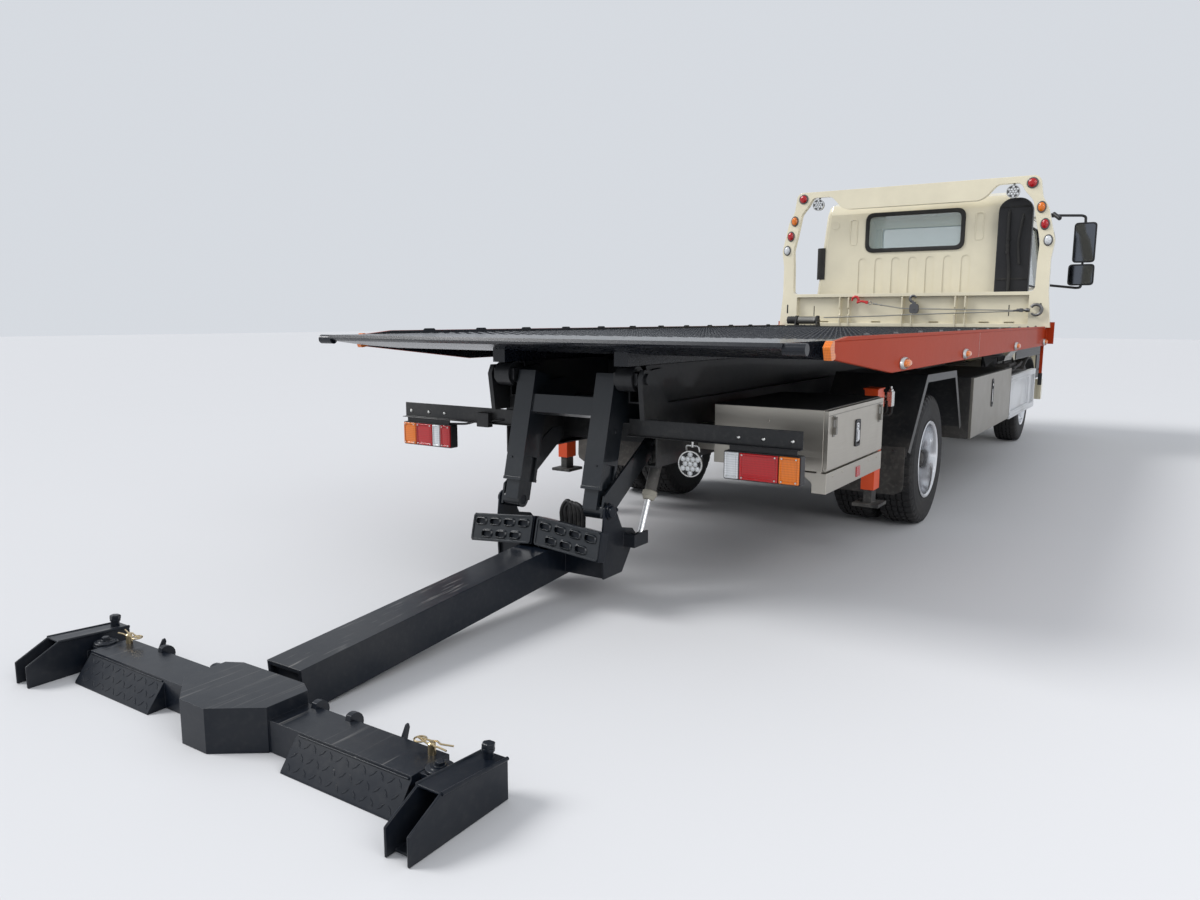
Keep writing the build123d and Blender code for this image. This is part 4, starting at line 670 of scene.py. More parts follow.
for side in (-1, 1):
    x = side * post_middle[0]
    y = post_middle[1] - 0.09
    for z in (0.812, 0.846):
        outrigger_valves.turned([(0, 0.011), (0.02, 0.011)], (x, y, z), (0, -1, 0), 6)
        outrigger_valves.tube(eased([(x, y, z), (x, y - 0.05, z), (x + side * 0.035, y - 0.05, z)], 0.02,
                                    False), 0.007)
        outrigger_valves.turned([(0, 0.012), (0.018, 0.012)], (x + side * 0.02, y - 0.05, z), (side, 0, 0), 6)
    outrigger_valves.block((x + side * 0.034, x + side * 0.062), (y - 0.075, y - 0.025), (0.79, 0.87))
    outrigger_valves.turned([(0, 0.014), (0.012, 0.014), (0.014, 0.008), (0.028, 0.008)],
                            (x + side * 0.048, y - 0.05, 0.87), (0, 0, 1), 6)
piece("outrigger_valves", outrigger_valves, zinc, "chassis", edge=0.0015)
outrigger_hoses = Form()
for side in (-1, 1):
    x = side * (post_middle[0] + 0.048)
    y = post_middle[1] - 0.05
    for step, z in ((-0.012, 0.8), (0.012, 0.83)):
        outrigger_hoses.tube(eased([(x + step, y - 0.07, z - 0.009), (x + step, y - 0.07, 0.745),
                                    (side * 0.9, y - 0.03, 0.735), (side * 0.66, y - 0.002, 0.735 + step)],
                                    0.03, False), 0.008)
piece("outrigger_hoses", outrigger_hoses, rubber, "chassis")

# Mast: square-tube legs that slope down and back, joined by a cross member and side plates.
# The outer legs are welded up and the inner legs slide in them on greased pads.
# Light streaks on the top faces of the mast and boom are partly scuffs and partly a painted highlight.
mast_black = paint("mast_black", (0.009, 0.012, 0.016), 0.3, dust=0.06, coat=0.3, scuffs_and_sheen=0.25, gloss=0.4)
boom_black = paint("boom_black", (0.005, 0.008, 0.014), 0.3, dust=0.06, coat=0.06, scuffs_and_sheen=0.5,
                   slot="mast_black", gloss=0.25)
dress("mast_frame", mast_black, 0.006)
dress("mast_legs", mast_black, 0.004)
mast_lean = math.radians(13.93)
mast_top = Vector((0.0, rear_axle + 2.346, 1.016))
mast_down = Vector((0.0, math.sin(mast_lean), -math.cos(mast_lean)))
mast_back = Vector((0.0, math.cos(mast_lean), math.sin(mast_lean)))


def on_mast(x, travel, back):
    """A place on the mast: across, down the legs from their tops, and out from their rear faces."""
    return mast_top + Vector((x, 0.0, 0.0)) + mast_down * travel + mast_back * back


mast_fittings = Form()
for side in (-1, 1):
    for travel in (0.06, 0.25):
        mast_fittings.bolt(on_mast(side * 0.267, travel, -0.06), (side, 0, 0), 0.008)
    mast_fittings.turned([(0, 0.0045), (0.004, 0.0045), (0.006, 0.002)], on_mast(side * 0.235, 0.41, 0.0),
                         mast_back, 10)
piece("mast_fittings", mast_fittings, mast_black, "chassis")

# Tail bar: a folded black channel bolted to the ends of the rails, with a small junction box.
dress("tail_bar", frame_black, 0.002)
bar_face = rear_axle + 2.266
bar_bolts = Form()
for side in (-1, 1):
    for x in (0.82, 0.93, 1.055):
        bar_bolts.turned([(0, 0.0085), (0.003, 0.0082), (0.006, 0.0058), (0.0072, 0.002)],
                         (side * x, bar_face, 0.768), (0, 1, 0), 18)
piece("bar_bolts", bar_bolts, zinc, "chassis")
bar_box = Form()
bar_box.block((0.5, 0.575), (bar_face, bar_face + 0.035), (0.72, 0.79))
bar_box.tube(eased([(0.575, bar_face + 0.012, 0.75), (0.66, bar_face + 0.012, 0.725),
                    (0.8, bar_face - 0.01, 0.715)],
                   0.03, False), 0.006)
bar_box.tube(eased([(0.5, bar_face + 0.012, 0.75), (0.44, bar_face + 0.012, 0.76),
                    (0.4, bar_face - 0.03, 0.76)],
                   0.03, False), 0.006)
piece("junction_box", bar_box, plastic, "chassis", edge=0.003)

# Tail lamps: black housings under the bar, with three moulded lenses at the right and four at the
# left, held by screws. A round work lamp with a cluster of small lenses hangs at the right.
lamp_back = rear_axle + 2.235
lamp_face = rear_axle + 2.282
lamp_height = 0.652
lamp_bodies = Form()
for side in (-1, 1):
    lamp_bodies.plate(oblong((side * 0.9305, lamp_height), 0.1675, 0.06, 0.008), 1, (lamp_back, lamp_face))
    lamp_bodies.block((side * 0.783, side * 1.078), (rear_axle + 2.2663, rear_axle + 2.274), (0.712, 0.7357))
work_lamp = Vector((-0.61, rear_axle + 2.255, 0.64))
lamp_bodies.turned([(0, 0.035), (0.006, 0.046), (0.022, 0.054), (0.033, 0.056)], work_lamp, (0, 1, 0), 40)
for k in range(9):
    x = work_lamp.x + (k - 4) * 0.009
    lamp_bodies.block((x - 0.0015, x + 0.0015), (work_lamp.y - 0.012, work_lamp.y + 0.004), (0.612, 0.668))
piece("lamp_bodies", lamp_bodies, plastic, "chassis", edge=0.001, replaces=["tail_lamps"])
lens_places = (
    ("reverse_right", -0.768, -0.830, clear), ("stop_right", -0.835, -1.003, red),
    ("turn_right", -1.008, -1.093, amber),
    ("fog_left", 0.768, 0.833, red), ("reverse_left", 0.838, 0.888, clear), ("stop_left", 0.893, 1.003, red),
    ("turn_left", 1.008, 1.093, amber),
)
lamp_screws = Form()
for name, start, end, finish in lens_places:
    lens = Form()
    middle = (start + end) / 2
    half = abs(end - start) / 2
    steps = ((-0.001, 0.0), (0.006, 0.0), (0.0085, 0.0025), (0.0085, 0.007), (0.0045, 0.0095), (0.007, 0.02))
    lens.skin([[spot(point, 1, lamp_face + out)
                for point in oblong((middle, lamp_height), half - inset, 0.0555 - inset, 0.005)]
               for out, inset in steps])
    piece("tail_" + name, lens, finish, "chassis", edge=0.0008)
    if half > 0.03:
        for x in (middle - half + 0.012, middle + half - 0.012):
            for z in (0.605, 0.699):
                lamp_screws.turned([(0, 0.0042), (0.0045, 0.0035)], (x, lamp_face + 0.0065, z), (0, 1, 0), 10)
work_face = work_lamp.y + 0.033
lamp_screws.turned([(-0.002, 0.0565), (0.004, 0.0565), (0.004, 0.052), (-0.002, 0.052)],
                   (work_lamp.x, work_face, work_lamp.z), (0, 1, 0), 48, hollow=True)
cell_places = [(0.0, 0.0)]
cell_places += [(0.0235 * math.cos(k * math.pi / 3), 0.0235 * math.sin(k * math.pi / 3)) for k in range(6)]
cell_places += [(0.0405 * math.cos((k + 0.5) * math.pi / 3), 0.0405 * math.sin((k + 0.5) * math.pi / 3))
                for k in range(6)]


def cells(form, lights, face):
    """A round lamp's bright cups, each filled by a domed lens."""
    for a, b in cell_places:
        middle = face + Vector((a, 0.0, b))
        form.turned([(0.003, 0.0116), (0.003, 0.0104), (-0.003, 0.009), (-0.0042, 0.0116)], middle, (0, 1, 0),
                    14, hollow=True)
        lights.turned([(-0.003, 0.0099), (0.0005, 0.0095), (0.0025, 0.0065), (0.0034, 0.0025)], middle,
                      (0, 1, 0), 14)


work_lights = Form()
cells(lamp_screws, work_lights, Vector((work_lamp.x, work_face, work_lamp.z)))
piece("work_lights", work_lights, clear, "chassis")
lamp_screws.tube(eased([(work_lamp.x - 0.03, work_lamp.y + 0.01, 0.69),
                        (work_lamp.x - 0.03, work_lamp.y + 0.016, 0.716),
                        (work_lamp.x + 0.03, work_lamp.y + 0.016, 0.716),
                        (work_lamp.x + 0.03, work_lamp.y + 0.01, 0.69)],
                       0.01, False), 0.004, 8)
lamp_screws.tube([(work_lamp.x, work_lamp.y + 0.016, 0.71),
                  (work_lamp.x, work_lamp.y + 0.016, 0.7357)], 0.005, 8)
piece("lamp_screws", lamp_screws, zinc, "chassis")

# Tilting sub-frame: two box rails that carry the deck, on rollers at the rear pivot, pushed up by
# a pair of cylinders with chromed rods.
dress("tilt_frame", frame_black, 0.003)
cylinder_black = paint("cylinder_grey", (0.03, 0.03, 0.03), 0.5, dust=0.7, gloss=0.4)
rod_chrome = metal("chrome_rod", (0.8, 0.8, 0.8), 0.12, dust=0.05)
dress("tilt_cylinder_barrels", cylinder_black, 0.003)
dress("tilt_cylinder_rods", rod_chrome, 0.002)

# Deck: black chequered plate on cross members and two runners, thinning to a smooth folded tail.
# The chequers are rolled into the plate.
# Light streaks on the deck's top are partly scuffs and partly a painted highlight.
deck_black = paint("deck_black", (0.007, 0.009, 0.014), 0.27, dust=0.08, coat=0.12, scuffs_and_sheen=0.25, gloss=0.3)
dress("deck_platform", deck_black, 0.003)
deck_half = 1.25
deck_top = 1.17
deck_front = rear_axle - 3.4


def studs(form, start, along, across, counts, pitch, size):
    """Raised lozenges in rows over a flat, each turned a quarter from the next."""
    along = Vector(along)
    across = Vector(across)
    up = along.cross(across)
    for row in range(counts[0]):
        for column in range(counts[1]):
            middle = Vector(start) + along * (row + 0.5) * pitch + across * (column + 0.5) * pitch
            way = 1 if (row + column) % 2 else -1
            long_way = (along + across * way).normalized()
            wide_way = up.cross(long_way)
            foot = [middle + long_way * a * size + wide_way * b * size * 0.28
                    for a, b in ((1, 0), (0, 1), (-1, 0), (0, -1))]
            head = [middle + (corner - middle) * 0.55 + up * size * 0.13 for corner in foot]
            form.skin([foot, head])


deck_studs = Form()
studs(deck_studs, (1.2, deck_front + 0.36, deck_top), (0, 1, 0), (-1, 0, 0), (128, 60), 0.04, 0.015)
piece("deck_studs", deck_studs, deck_black, "deck")

# Side skirts: orange plates welded along the deck, with a folded top edge, oval amber markers in
# chromed bezels, and a lamp in each rear tip. Their inner sides and lashing rails are black. Their
# orange is darker than the posts' orange: painted shade.
# The skirts take the darker orange, as painted shade.
dress("side_skirts", shaded_orange, 0.004)
dress("deck_lamps", amber, 0.002)
markers = Form()
bezels = Form()
marker_places = [deck_front + step for step in (0.1, 1.65, 3.47, 4.82)]
marker_height = 1.052
bezel_rows = ((0.0003, 0.073, 0.029), (0.006, 0.0735, 0.0295), (0.015, 0.066, 0.025), (0.018, 0.06, 0.0225),
              (0.012, 0.055, 0.0205), (0.0003, 0.055, 0.0205), (0.0003, 0.073, 0.029))
marker_rows = ((0.0005, 0.0545, 0.02), (0.018, 0.054, 0.0198), (0.028, 0.047, 0.0165), (0.033, 0.032, 0.0105),
               (0.0345, 0.012, 0.004))
lips = Form()
edge_rails = Form()
for side in (-1, 1):
    for y in marker_places:
        place = (side * deck_half, y, marker_height)
        for form, rows in ((bezels, bezel_rows), (markers, marker_rows)):
            form.skin([[spot(point, 0, place[0] + side * out) for point in ring(place[1:], wide, tall, 40)]
                       for out, wide, tall in rows])
    tip = rear_axle + 2.43
    markers.plate(eased([(tip - 0.035, 1.106), (tip + 0.006, 1.1), (tip + 0.026, 1.15), (tip - 0.004, 1.1735),
                         (tip - 0.022, 1.1735), (tip - 0.022, 1.13), (tip - 0.035, 1.125)], 0.006), 0,
                  (side * 1.2285, side * 1.2575))
    bezels.block((side * 1.2502, side * 1.2512), (rear_axle - 0.346, rear_axle - 0.343), (1.018, 1.168))
piece("skirt_markers", markers, amber, "deck", replaces=["deck_lamps"])
skirt_end = rear_axle + 2.4
skirt_bend = rear_axle + 2.22
deck_corners = Form()
corner_ends = Form()
for side in (-1, 1):
    deck_corners.block((side * 1.2505, side * 1.262), (deck_front, deck_front + 0.05), (1.018, 1.23))
    deck_corners.block((side * 1.26, side * 1.318), (deck_front, deck_front + 0.011), (1.03, 1.225))
    deck_corners.block((side * 1.218, side * 1.243), (deck_front + 0.004, deck_front + 0.022), (0.76, 1.0149))
    deck_corners.bolt((side * 1.2305, deck_front + 0.022, 0.98), (0, 1, 0), 0.008)
    corner_ends.plate(eased([(deck_front + 0.001, 0.655), (deck_front + 0.025, 0.655),
                             (deck_front + 0.025, 0.765),
                             (deck_front + 0.001, 0.765)], 0.006), 0, (side * 1.214, side * 1.247))
    lips.plate([(deck_front + 0.052, 1.1695), (skirt_end, 1.1695), (skirt_bend, 1.186),
                (deck_front + 0.052, 1.186)],
               0, (side * 1.232, side * 1.2497))
    edge_rails.plate([(deck_front + 0.06, 1.1695), (skirt_end, 1.1695), (skirt_bend, 1.1855),
                      (deck_front + 0.06, 1.1855)], 0, (side * 1.2255, side * 1.2318))
    for k in range(12):
        y = deck_front + 0.5 + k * 0.44
        edge_rails.plate([(y - 0.05, 1.184), (y - 0.036, 1.195), (y + 0.036, 1.195), (y + 0.05, 1.184)], 0,
                         (side * 1.2258, side * 1.2315))
    edge_rails.plate([(deck_front + 0.002, 1.168), (deck_front + 0.002, 1.0165), (rear_axle + 1.6, 1.0165),
                      (rear_axle + 2.39, 1.105), (rear_axle + 2.39, 1.168)], 0, (side * 1.2283, side * 1.2297))
piece("skirt_lips", lips, shaded_orange, "deck", edge=0.003)
piece("edge_rails", edge_rails, deck_black, "deck", edge=0.0005)
piece("deck_corners", deck_corners, shaded_orange, "deck", edge=0.003)
piece("corner_ends", corner_ends, rubber, "deck", edge=0.004)
piece("marker_bezels", bezels, zinc, "deck")

# Pylon: a cream plate hoop welded to the headboard, with round lamps in its corners, three lamps
# down each post, and a work lamp in each arch.
dress("pylon", cream, 0.006)
pylon_face = deck_front + 0.065
post_lamps = (
    ("top", 1.063, 2.455, 0.044, 1.0, red), ("turn", 1.15, 2.24, 0.035, 1.35, amber),
    ("stop", 1.187, 2.09, 0.035, 1.35, red), ("reverse", 1.222, 1.948, 0.034, 1.35, clear),
)
grey_trim = paint("lamp_trim", (0.1, 0.1, 0.105), 0.4, dust=0.1, slot="cab_trim")
lamp_seats = Form()
for name, x, z, radius, tall, finish in post_lamps:
    lens = Form()
    for side in (-1, 1):
        place = (side * x, pylon_face, z)
        lens.turned([(0.001, radius * 0.86), (0.012, radius * 0.84), (0.02, radius * 0.62),
                     (0.0235, radius * 0.3)], place,
                    (0, 1, 0), 32, tall)
        lamp_seats.turned([(0.0003, radius * 1.12), (0.007, radius * 1.08), (0.011, radius * 0.98),
                           (0.011, radius * 0.87),
                           (0.0003, radius * 0.87)], place, (0, 1, 0), 36, tall, hollow=True)
    piece("post_lamp_" + name, lens, finish, "deck")
arch_lamps = Form()
arch_lights = Form()
for side in (-1, 1):
    place = Vector((side * 0.907, pylon_face - 0.03, 2.39))
    lamp_seats.turned([(-0.03, 0.03), (-0.02, 0.046), (0.0, 0.055), (0.03, 0.057)], place, (0, 1, 0), 36)
    lamp_seats.tube([place + Vector((0, -0.01, 0.05)), place + Vector((0, -0.01, 0.085))], 0.009)
    arch_lamps.turned([(0.028, 0.0585), (0.036, 0.0585), (0.036, 0.052), (0.028, 0.052)], place, (0, 1, 0), 40,
                      hollow=True)
    cells(arch_lamps, arch_lights, place + Vector((0.0, 0.031, 0.0)))
piece("arch_lights", arch_lights, clear, "deck")
piece("lamp_seats", lamp_seats, grey_trim, "deck")
piece("arch_lamps", arch_lamps, zinc, "deck")

# Winch at the left foot of the pylon: a black cast frame and drum wound with wire rope, a motor at
# one end and a gearbox at the other, on a bolted bed plate.
dress("winch", cast_black, 0.004)
wire = metal("wire_rope", (0.42, 0.41, 0.38), 0.38, dust=0.3, slot="tackle_steel")
winch_y = pylon_face + 0.15
winch_z = 1.236
drum_rope = Form()
coils = 22
path = []
for k in range(coils * 16 + 1):
    angle = 2 * math.pi * k / 16
    path.append((0.832 + 0.186 * k / (coils * 16), winch_y + 0.0345 * math.cos(angle),
                 winch_z + 0.0345 * math.sin(angle)))
drum_rope.tube(path, 0.0044, 6)
piece("drum_rope", drum_rope, wire, "deck")
winch_trim = Form()
for k in range(6):
    angle = k * math.pi / 3
    winch_trim.turned([(0, 0.006), (0.007, 0.006)],
                      (1.13, winch_y + 0.026 * math.cos(angle), winch_z + 0.026 * math.sin(angle)),
                      (1, 0, 0), 6)
    winch_trim.turned([(0, 0.006), (0.007, 0.006)],
                      (0.808, winch_y + 0.03 * math.cos(angle), winch_z + 0.03 * math.sin(angle)),
                      (-1, 0, 0), 6)
for x in (0.87, 0.97):
    for y in (-0.048, 0.048):
        winch_trim.bolt((x, winch_y + y, 1.186), (0, 0, 1), 0.007)
for step in (-0.022, 0.0, 0.022):
    winch_trim.turned([(0, 0.0395), (0.007, 0.0395)], (1.07 + step, winch_y, winch_z), (1, 0, 0), 32)
piece("winch_trim", winch_trim, cast_black, "deck", edge=0.001)

# Tackle on the headboard: two wire ropes drawn across it, a red clevis hook, a snatch block with
# its hook over the top rail, and a black swivel hook at the right.
tackle_y = pylon_face + 0.03
steel = metal("tackle_steel", (0.16, 0.16, 0.165), 0.42, dust=0.3)
hook_red = paint("hook_red", (0.62, 0.02, 0.02), 0.32, dust=0.05, coat=0.5, slot="signal_orange")


def hook(form, middle, reach, thick, start, sweep):
    """A forged hook: a round bar bent about its middle, thickest at the back and drawn to a point."""
    turn = []
    radii = []
    for k in range(17):
        angle = math.radians(start + sweep * k / 16)
        turn.append(middle + Vector((reach * math.cos(angle), 0.0, reach * math.sin(angle))))
        radii.append(thick * (0.45 + 0.6 * math.sin(math.pi * min(1.0, 0.25 + k / 16 * 0.68))))
    form.tube(turn, radii, 12)


red_hook = Form()
hook(red_hook, Vector((0.478, tackle_y, 1.437)), 0.032, 0.0125, 215, -235)
red_hook.tube(eased([(0.462, tackle_y, 1.41), (0.42, tackle_y, 1.425), (0.36, tackle_y, 1.412)], 0.02, False),
              [0.0115] * 7, 12)
red_hook.turned([(-0.014, 0.016), (0.014, 0.016)], (0.362, tackle_y, 1.412), (0, 1, 0), 18)
piece("red_hook", red_hook, hook_red, "deck", edge=0.001)
ropes = Form()
ropes.tube([(0.3, tackle_y, 1.4), (0.02, tackle_y + 0.006, 1.352), (-0.98, tackle_y + 0.004, 1.33)], 0.0055)
ropes.tube([(0.76, winch_y - 0.02, 1.262), (0.24, tackle_y + 0.03, 1.278), (-0.06, tackle_y + 0.018, 1.292),
            (-0.98, tackle_y + 0.004, 1.322)], 0.0055)
eye_turn = [(0.33 + 0.018 * math.cos(k * math.pi / 7), tackle_y, 1.406 + 0.014 * math.sin(k * math.pi / 7))
            for k in range(15)]
ropes.tube(eye_turn, 0.0045, 8)
for x, z in ((0.3, 1.4), (0.275, 1.3957), (0.225, 1.387), (-0.94, 1.329)):
    ropes.turned([(0, 0.0095), (0.016, 0.0095)], (x, tackle_y, z), (-1, 0, -0.17), 10)
piece("headboard_ropes", ropes, wire, "deck", replaces=["deck_tackle"])
snatch_block = Form()
block_x = -0.098
for back in (-0.017, 0.009):
    snatch_block.plate(oblong((block_x, 1.349), 0.042, 0.047, 0.032, 6), 1,
                       (tackle_y + back, tackle_y + back + 0.008))
snatch_block.turned([(-0.009, 0.04), (-0.003, 0.032), (0.003, 0.032), (0.009, 0.04)],
                    (block_x, tackle_y, 1.345), (0, 1, 0), 32)
snatch_block.turned([(-0.022, 0.012), (0.022, 0.012)], (block_x, tackle_y, 1.345), (0, 1, 0), 6)
snatch_block.block((block_x - 0.014, block_x + 0.018), (tackle_y - 0.012, tackle_y + 0.012), (1.392, 1.414))
hook(snatch_block, Vector((-0.086, tackle_y, 1.443)), 0.029, 0.0125, -105, 265)
piece("snatch_block", snatch_block, steel, "deck", edge=0.0015)
swivel = Form()
hook(swivel, Vector((-1.168, tackle_y, 1.335)), 0.047, 0.0145, 30, 290)
swivel.turned([(0, 0.012), (0.012, 0.018), (0.03, 0.018), (0.04, 0.011), (0.08, 0.011), (0.084, 0.014),
               (0.11, 0.014)],
              (-1.118, tackle_y, 1.332), (1, 0, 0), 16)
swivel.tube([(-1.01, tackle_y, 1.33), (-0.975, tackle_y, 1.326)], 0.009)
swivel.block((-1.06, -1.035), (tackle_y - 0.016, tackle_y + 0.016), (1.315, 1.349))
piece("swivel_hook", swivel, steel, "deck", edge=0.001)
board_slots = Form()
for side in (-1, 1):
    board_slots.plate(oblong((side * 1.2, 1.35), 0.007, 0.045, 0.006), 1,
                      (pylon_face - 0.002, pylon_face + 0.0008))
    board_slots.plate(oblong((side * 0.93, 1.33), 0.004, 0.05, 0.003), 1,
                      (pylon_face - 0.054, pylon_face - 0.051))
piece("board_slots", board_slots, rubber, "deck")

# Cab: a welded steel cab that tilts forward, cut where the front panel and the doors close. Cream
# paint with deep gloss, rubber round the glass, and black trim.
dress("cab_shell", cream, 0.012)
dress("cab_front", cream, 0.012)
for name, side in sides:
    dress("door_" + name, cream, 0.003)
cab_rear = rear_axle - 3.53
cab_half = 0.98
nose = front_axle - 1.045
rear_seal = Form()
rear_seal.pierced(oblong((0.0, 2.105), 0.476, 0.195, 0.085, 6),
                  [oblong((0.0, 2.105), 0.436, 0.155, 0.055, 6)], 1, (cab_rear - 0.012, cab_rear + 0.004))
piece("rear_window_seal", rear_seal, rubber, "cab", edge=0.006)
vents = Form()
for side in (-1, 1):
    vents.pierced(oblong((side * 0.6, 2.12), 0.04, 0.13, 0.03),
                  [oblong((side * 0.6, 2.12), 0.03, 0.12, 0.022)], 1, (cab_rear - 0.015, cab_rear - 0.008))
piece("cab_vents", vents, cream, "cab", edge=0.003)
rear_trim = Form()
bend = [(0.885, cab_rear - 0.0005)]
for reach in (0.0675, 0.0605):
    arc = [(0.918 + reach * math.sin(math.radians(a)), cab_rear - 0.068 + reach * math.cos(math.radians(a)))
           for a in range(0, 91, 9)]
    bend += arc if reach > 0.065 else arc[::-1]
bend.append((0.885, cab_rear - 0.0075))
rear_trim.plate(bend, 2, (1.655, 1.975))
piece("corner_vent", rear_trim, rubber, "cab", edge=0.002)
cap = Form()
cap.turned([(-0.02, 0.044), (0.001, 0.044), (0.003, 0.04), (0.001, 0.034), (0.001, 0.01)],
           (0.79, cab_rear - 0.0125, 2.2), (0, 1, 0), 32)
piece("cab_cap", cap, cream, "cab", edge=0.002)

# Lower cab: black moulded sill covers under the doors, step panels at the front corners, and
# liners with short flaps over the front wheels, all screwed to the cab.
lower_trim = Form()
liners = Form()
for side in (-1, 1):
    face = side * cab_half
    lower_trim.block((face + side * 0.0003, face + side * 0.007), (nose + 0.085, cab_rear - 0.062),
                     (0.872, 0.961))
    for z in (0.895, 0.917, 0.939):
        lower_trim.block((face + side * 0.006, face + side * 0.0095), (nose + 0.1, cab_rear - 0.08),
                         (z - 0.004, z + 0.004))
    step_hole = oblong((nose + 0.3, 0.745), 0.13, 0.055, 0.025)
    lower_trim.pierced([(nose + 0.085, 0.622), (front_axle - 0.522, 0.622), (front_axle - 0.484, 0.868),
                        (nose + 0.085, 0.868)], [step_hole], 0, (face + side * 0.0003, face + side * 0.012))
    lower_trim.plate(step_hole, 0, (face + side * 0.0003, face + side * 0.003))
    for k in range(9):
        y = nose + 0.2 + k * 0.025
        lower_trim.block((face + side * 0.002, face + side * 0.008), (y - 0.005, y + 0.005), (0.7, 0.716))
    for low, high, inner, outer in ((0.72, 0.975, 0.458, 0.464), (0.955, 0.988, 0.452, 0.469)):
        arch = []
        for a in range(20, 161, 5):
            along, up = math.cos(math.radians(a)), math.sin(math.radians(a))
            arch.append([(side * x, front_axle + (reach + 0.095) * along, tyre_reach + reach * up)
                         for x, reach in ((low, inner), (high, inner), (high, outer), (low, outer))])
        liners.skin(arch)
    liners.block((side * 0.725, side * 0.97), (front_axle + 0.522, front_axle + 0.529), (0.33, 0.565))
piece("lower_trim", lower_trim, plastic, "cab", edge=0.002)
piece("wheel_liners", liners, rubber, "cab", edge=0.001)

# Glazing: laminated glass with a faint green tint, set in rubber seals. The panes of the doors
# ride with them.
glass = Finish("clear_glass", (0.55, 0.68, 0.66), 0.03, Alpha=0.28, Coat_Weight=1.0, Coat_Roughness=0.02)
glass_smear = glass.ramp(glass.clouds(3.0, 4.0), 0.4, 0.9)
glass.give("Roughness", glass_smear * 0.06 + 0.02)
for node in ("cab_glass", "door_glass_left", "door_glass_right"):
    dress(node, glass, 0.0005)
screen_seal = Form()
screen_foot = Vector((0.0, nose + 0.02, 1.5))
screen_head = Vector((0.0, front_axle - 0.76, 2.32))
screen_rise = (screen_head - screen_foot).normalized()
screen_out = Vector((0.0, -screen_rise.z, screen_rise.y))
seal_line = eased([(-0.86, 1.54), (-0.79, 2.3), (0.79, 2.3), (0.86, 1.54)], 0.05, steps=5)


def on_screen(x, z, off):
    """A place over the windscreen: across, at a height, and off the glass."""
    on_slope = screen_foot + screen_rise * ((z - screen_foot.z) / screen_rise.z)
    return on_slope + Vector((x, 0.0, 0.0)) + screen_out * off


seal_path = [on_screen(x, z, -0.003) for x, z in seal_line]
screen_seal.tube(seal_path + [seal_path[0]], 0.011, 8)
piece("screen_seal", screen_seal, rubber, "cab")

# Cab front: black bars behind the air slots, twin round headlamps beside an amber turn lamp under
# one clear cover, fog lamps in the bumper, and a blank plate over its slot.
grille = Form()
for z in (0.936, 1.006, 1.076, 1.146):
    grille.plate(oblong((0.0, z), 0.557, 0.0135, 0.01), 1, (nose + 0.016, nose + 0.02))
    for k in range(27):
        x = (k - 13) * 0.0415
        grille.block((x - 0.004, x + 0.004), (nose + 0.004, nose + 0.017), (z - 0.0125, z + 0.0125))
piece("grille", grille, plastic, "cab", edge=0.001)
headlamp_boxes = Form()
reflectors = Form()
turn_lamps = Form()
lamp_covers = Form()
headlamp_height = 0.78
for side in (-1, 1):
    middle = (side * 0.79, headlamp_height)
    headlamp_boxes.pierced(oblong(middle, 0.14, 0.08, 0.02), [oblong(middle, 0.132, 0.072, 0.016)], 1,
                           (nose - 0.0248, nose - 0.0005))
    headlamp_boxes.plate(oblong(middle, 0.1325, 0.0725, 0.016), 1, (nose - 0.004, nose - 0.0005))
    for x in (0.715, 0.82):
        place = (side * x, nose - 0.004, headlamp_height)
        reflectors.turned([(0.0, 0.05), (0.014, 0.05), (0.014, 0.047), (0.008, 0.036), (0.003, 0.02),
                           (0.002, 0.012)], place,
                          (0, -1, 0), 40)
        reflectors.turned([(0.002, 0.009), (0.009, 0.009), (0.012, 0.005)], place, (0, -1, 0), 20)
    turn_lamps.plate(oblong((side * 0.897, headlamp_height), 0.02, 0.062, 0.008), 1,
                     (nose - 0.018, nose - 0.004))
    turn_lamps.plate(oblong((nose + 0.135, 1.25), 0.032, 0.017, 0.012), 0,
                     (side * cab_half, side * (cab_half + 0.012)))
    lamp_covers.plate(oblong(middle, 0.1318, 0.0718, 0.016), 1, (nose - 0.0238, nose - 0.0205))
piece("headlamp_boxes", headlamp_boxes, plastic, "cab", edge=0.001, replaces=["headlamps"])
piece("headlamp_reflectors", reflectors, chrome, "cab")
piece("turn_lamps", turn_lamps, amber, "cab", edge=0.002)
piece("headlamp_covers", lamp_covers, glass, "cab", edge=0.001)
bumper_front = front_axle - 1.105
fog_rims = Form()
fog_lamps = Form()
for side in (-1, 1):
    place = (side * 0.64, bumper_front + 0.0495, 0.46)
    fog_rims.turned([(0.0, 0.0545), (0.034, 0.0545), (0.039, 0.05), (0.034, 0.045), (0.0, 0.045)], place,
                    (0, -1, 0), 40, hollow=True)
    fog_lamps.turned([(0.004, 0.0448), (0.026, 0.043), (0.032, 0.03), (0.0345, 0.012)], place, (0, -1, 0), 32)
fog_rims.plate(oblong((0.0, 0.46), 0.327, 0.037, 0.022), 1, (bumper_front + 0.052, bumper_front + 0.058))
for z in (0.44, 0.46, 0.48):
    fog_rims.block((-0.32, 0.32), (bumper_front + 0.03, bumper_front + 0.053), (z - 0.003, z + 0.003))
piece("fog_rims", fog_rims, plastic, "chassis", edge=0.001)
piece("fog_lamps", fog_lamps, clear, "chassis")
plate_white = paint("plate_white", (0.7, 0.7, 0.68), 0.4, dust=0.3, slot="cab_cream")
blank = Form()
blank.plate(oblong((0.0, 0.46), 0.26, 0.056, 0.012), 1, (bumper_front - 0.004, bumper_front - 0.0005))
blank.pierced(oblong((0.0, 0.46), 0.26, 0.056, 0.012), [oblong((0.0, 0.46), 0.253, 0.049, 0.008)], 1,
              (bumper_front - 0.0055, bumper_front - 0.003))
piece("blank_plate", blank, plate_white, "chassis", edge=0.0005)

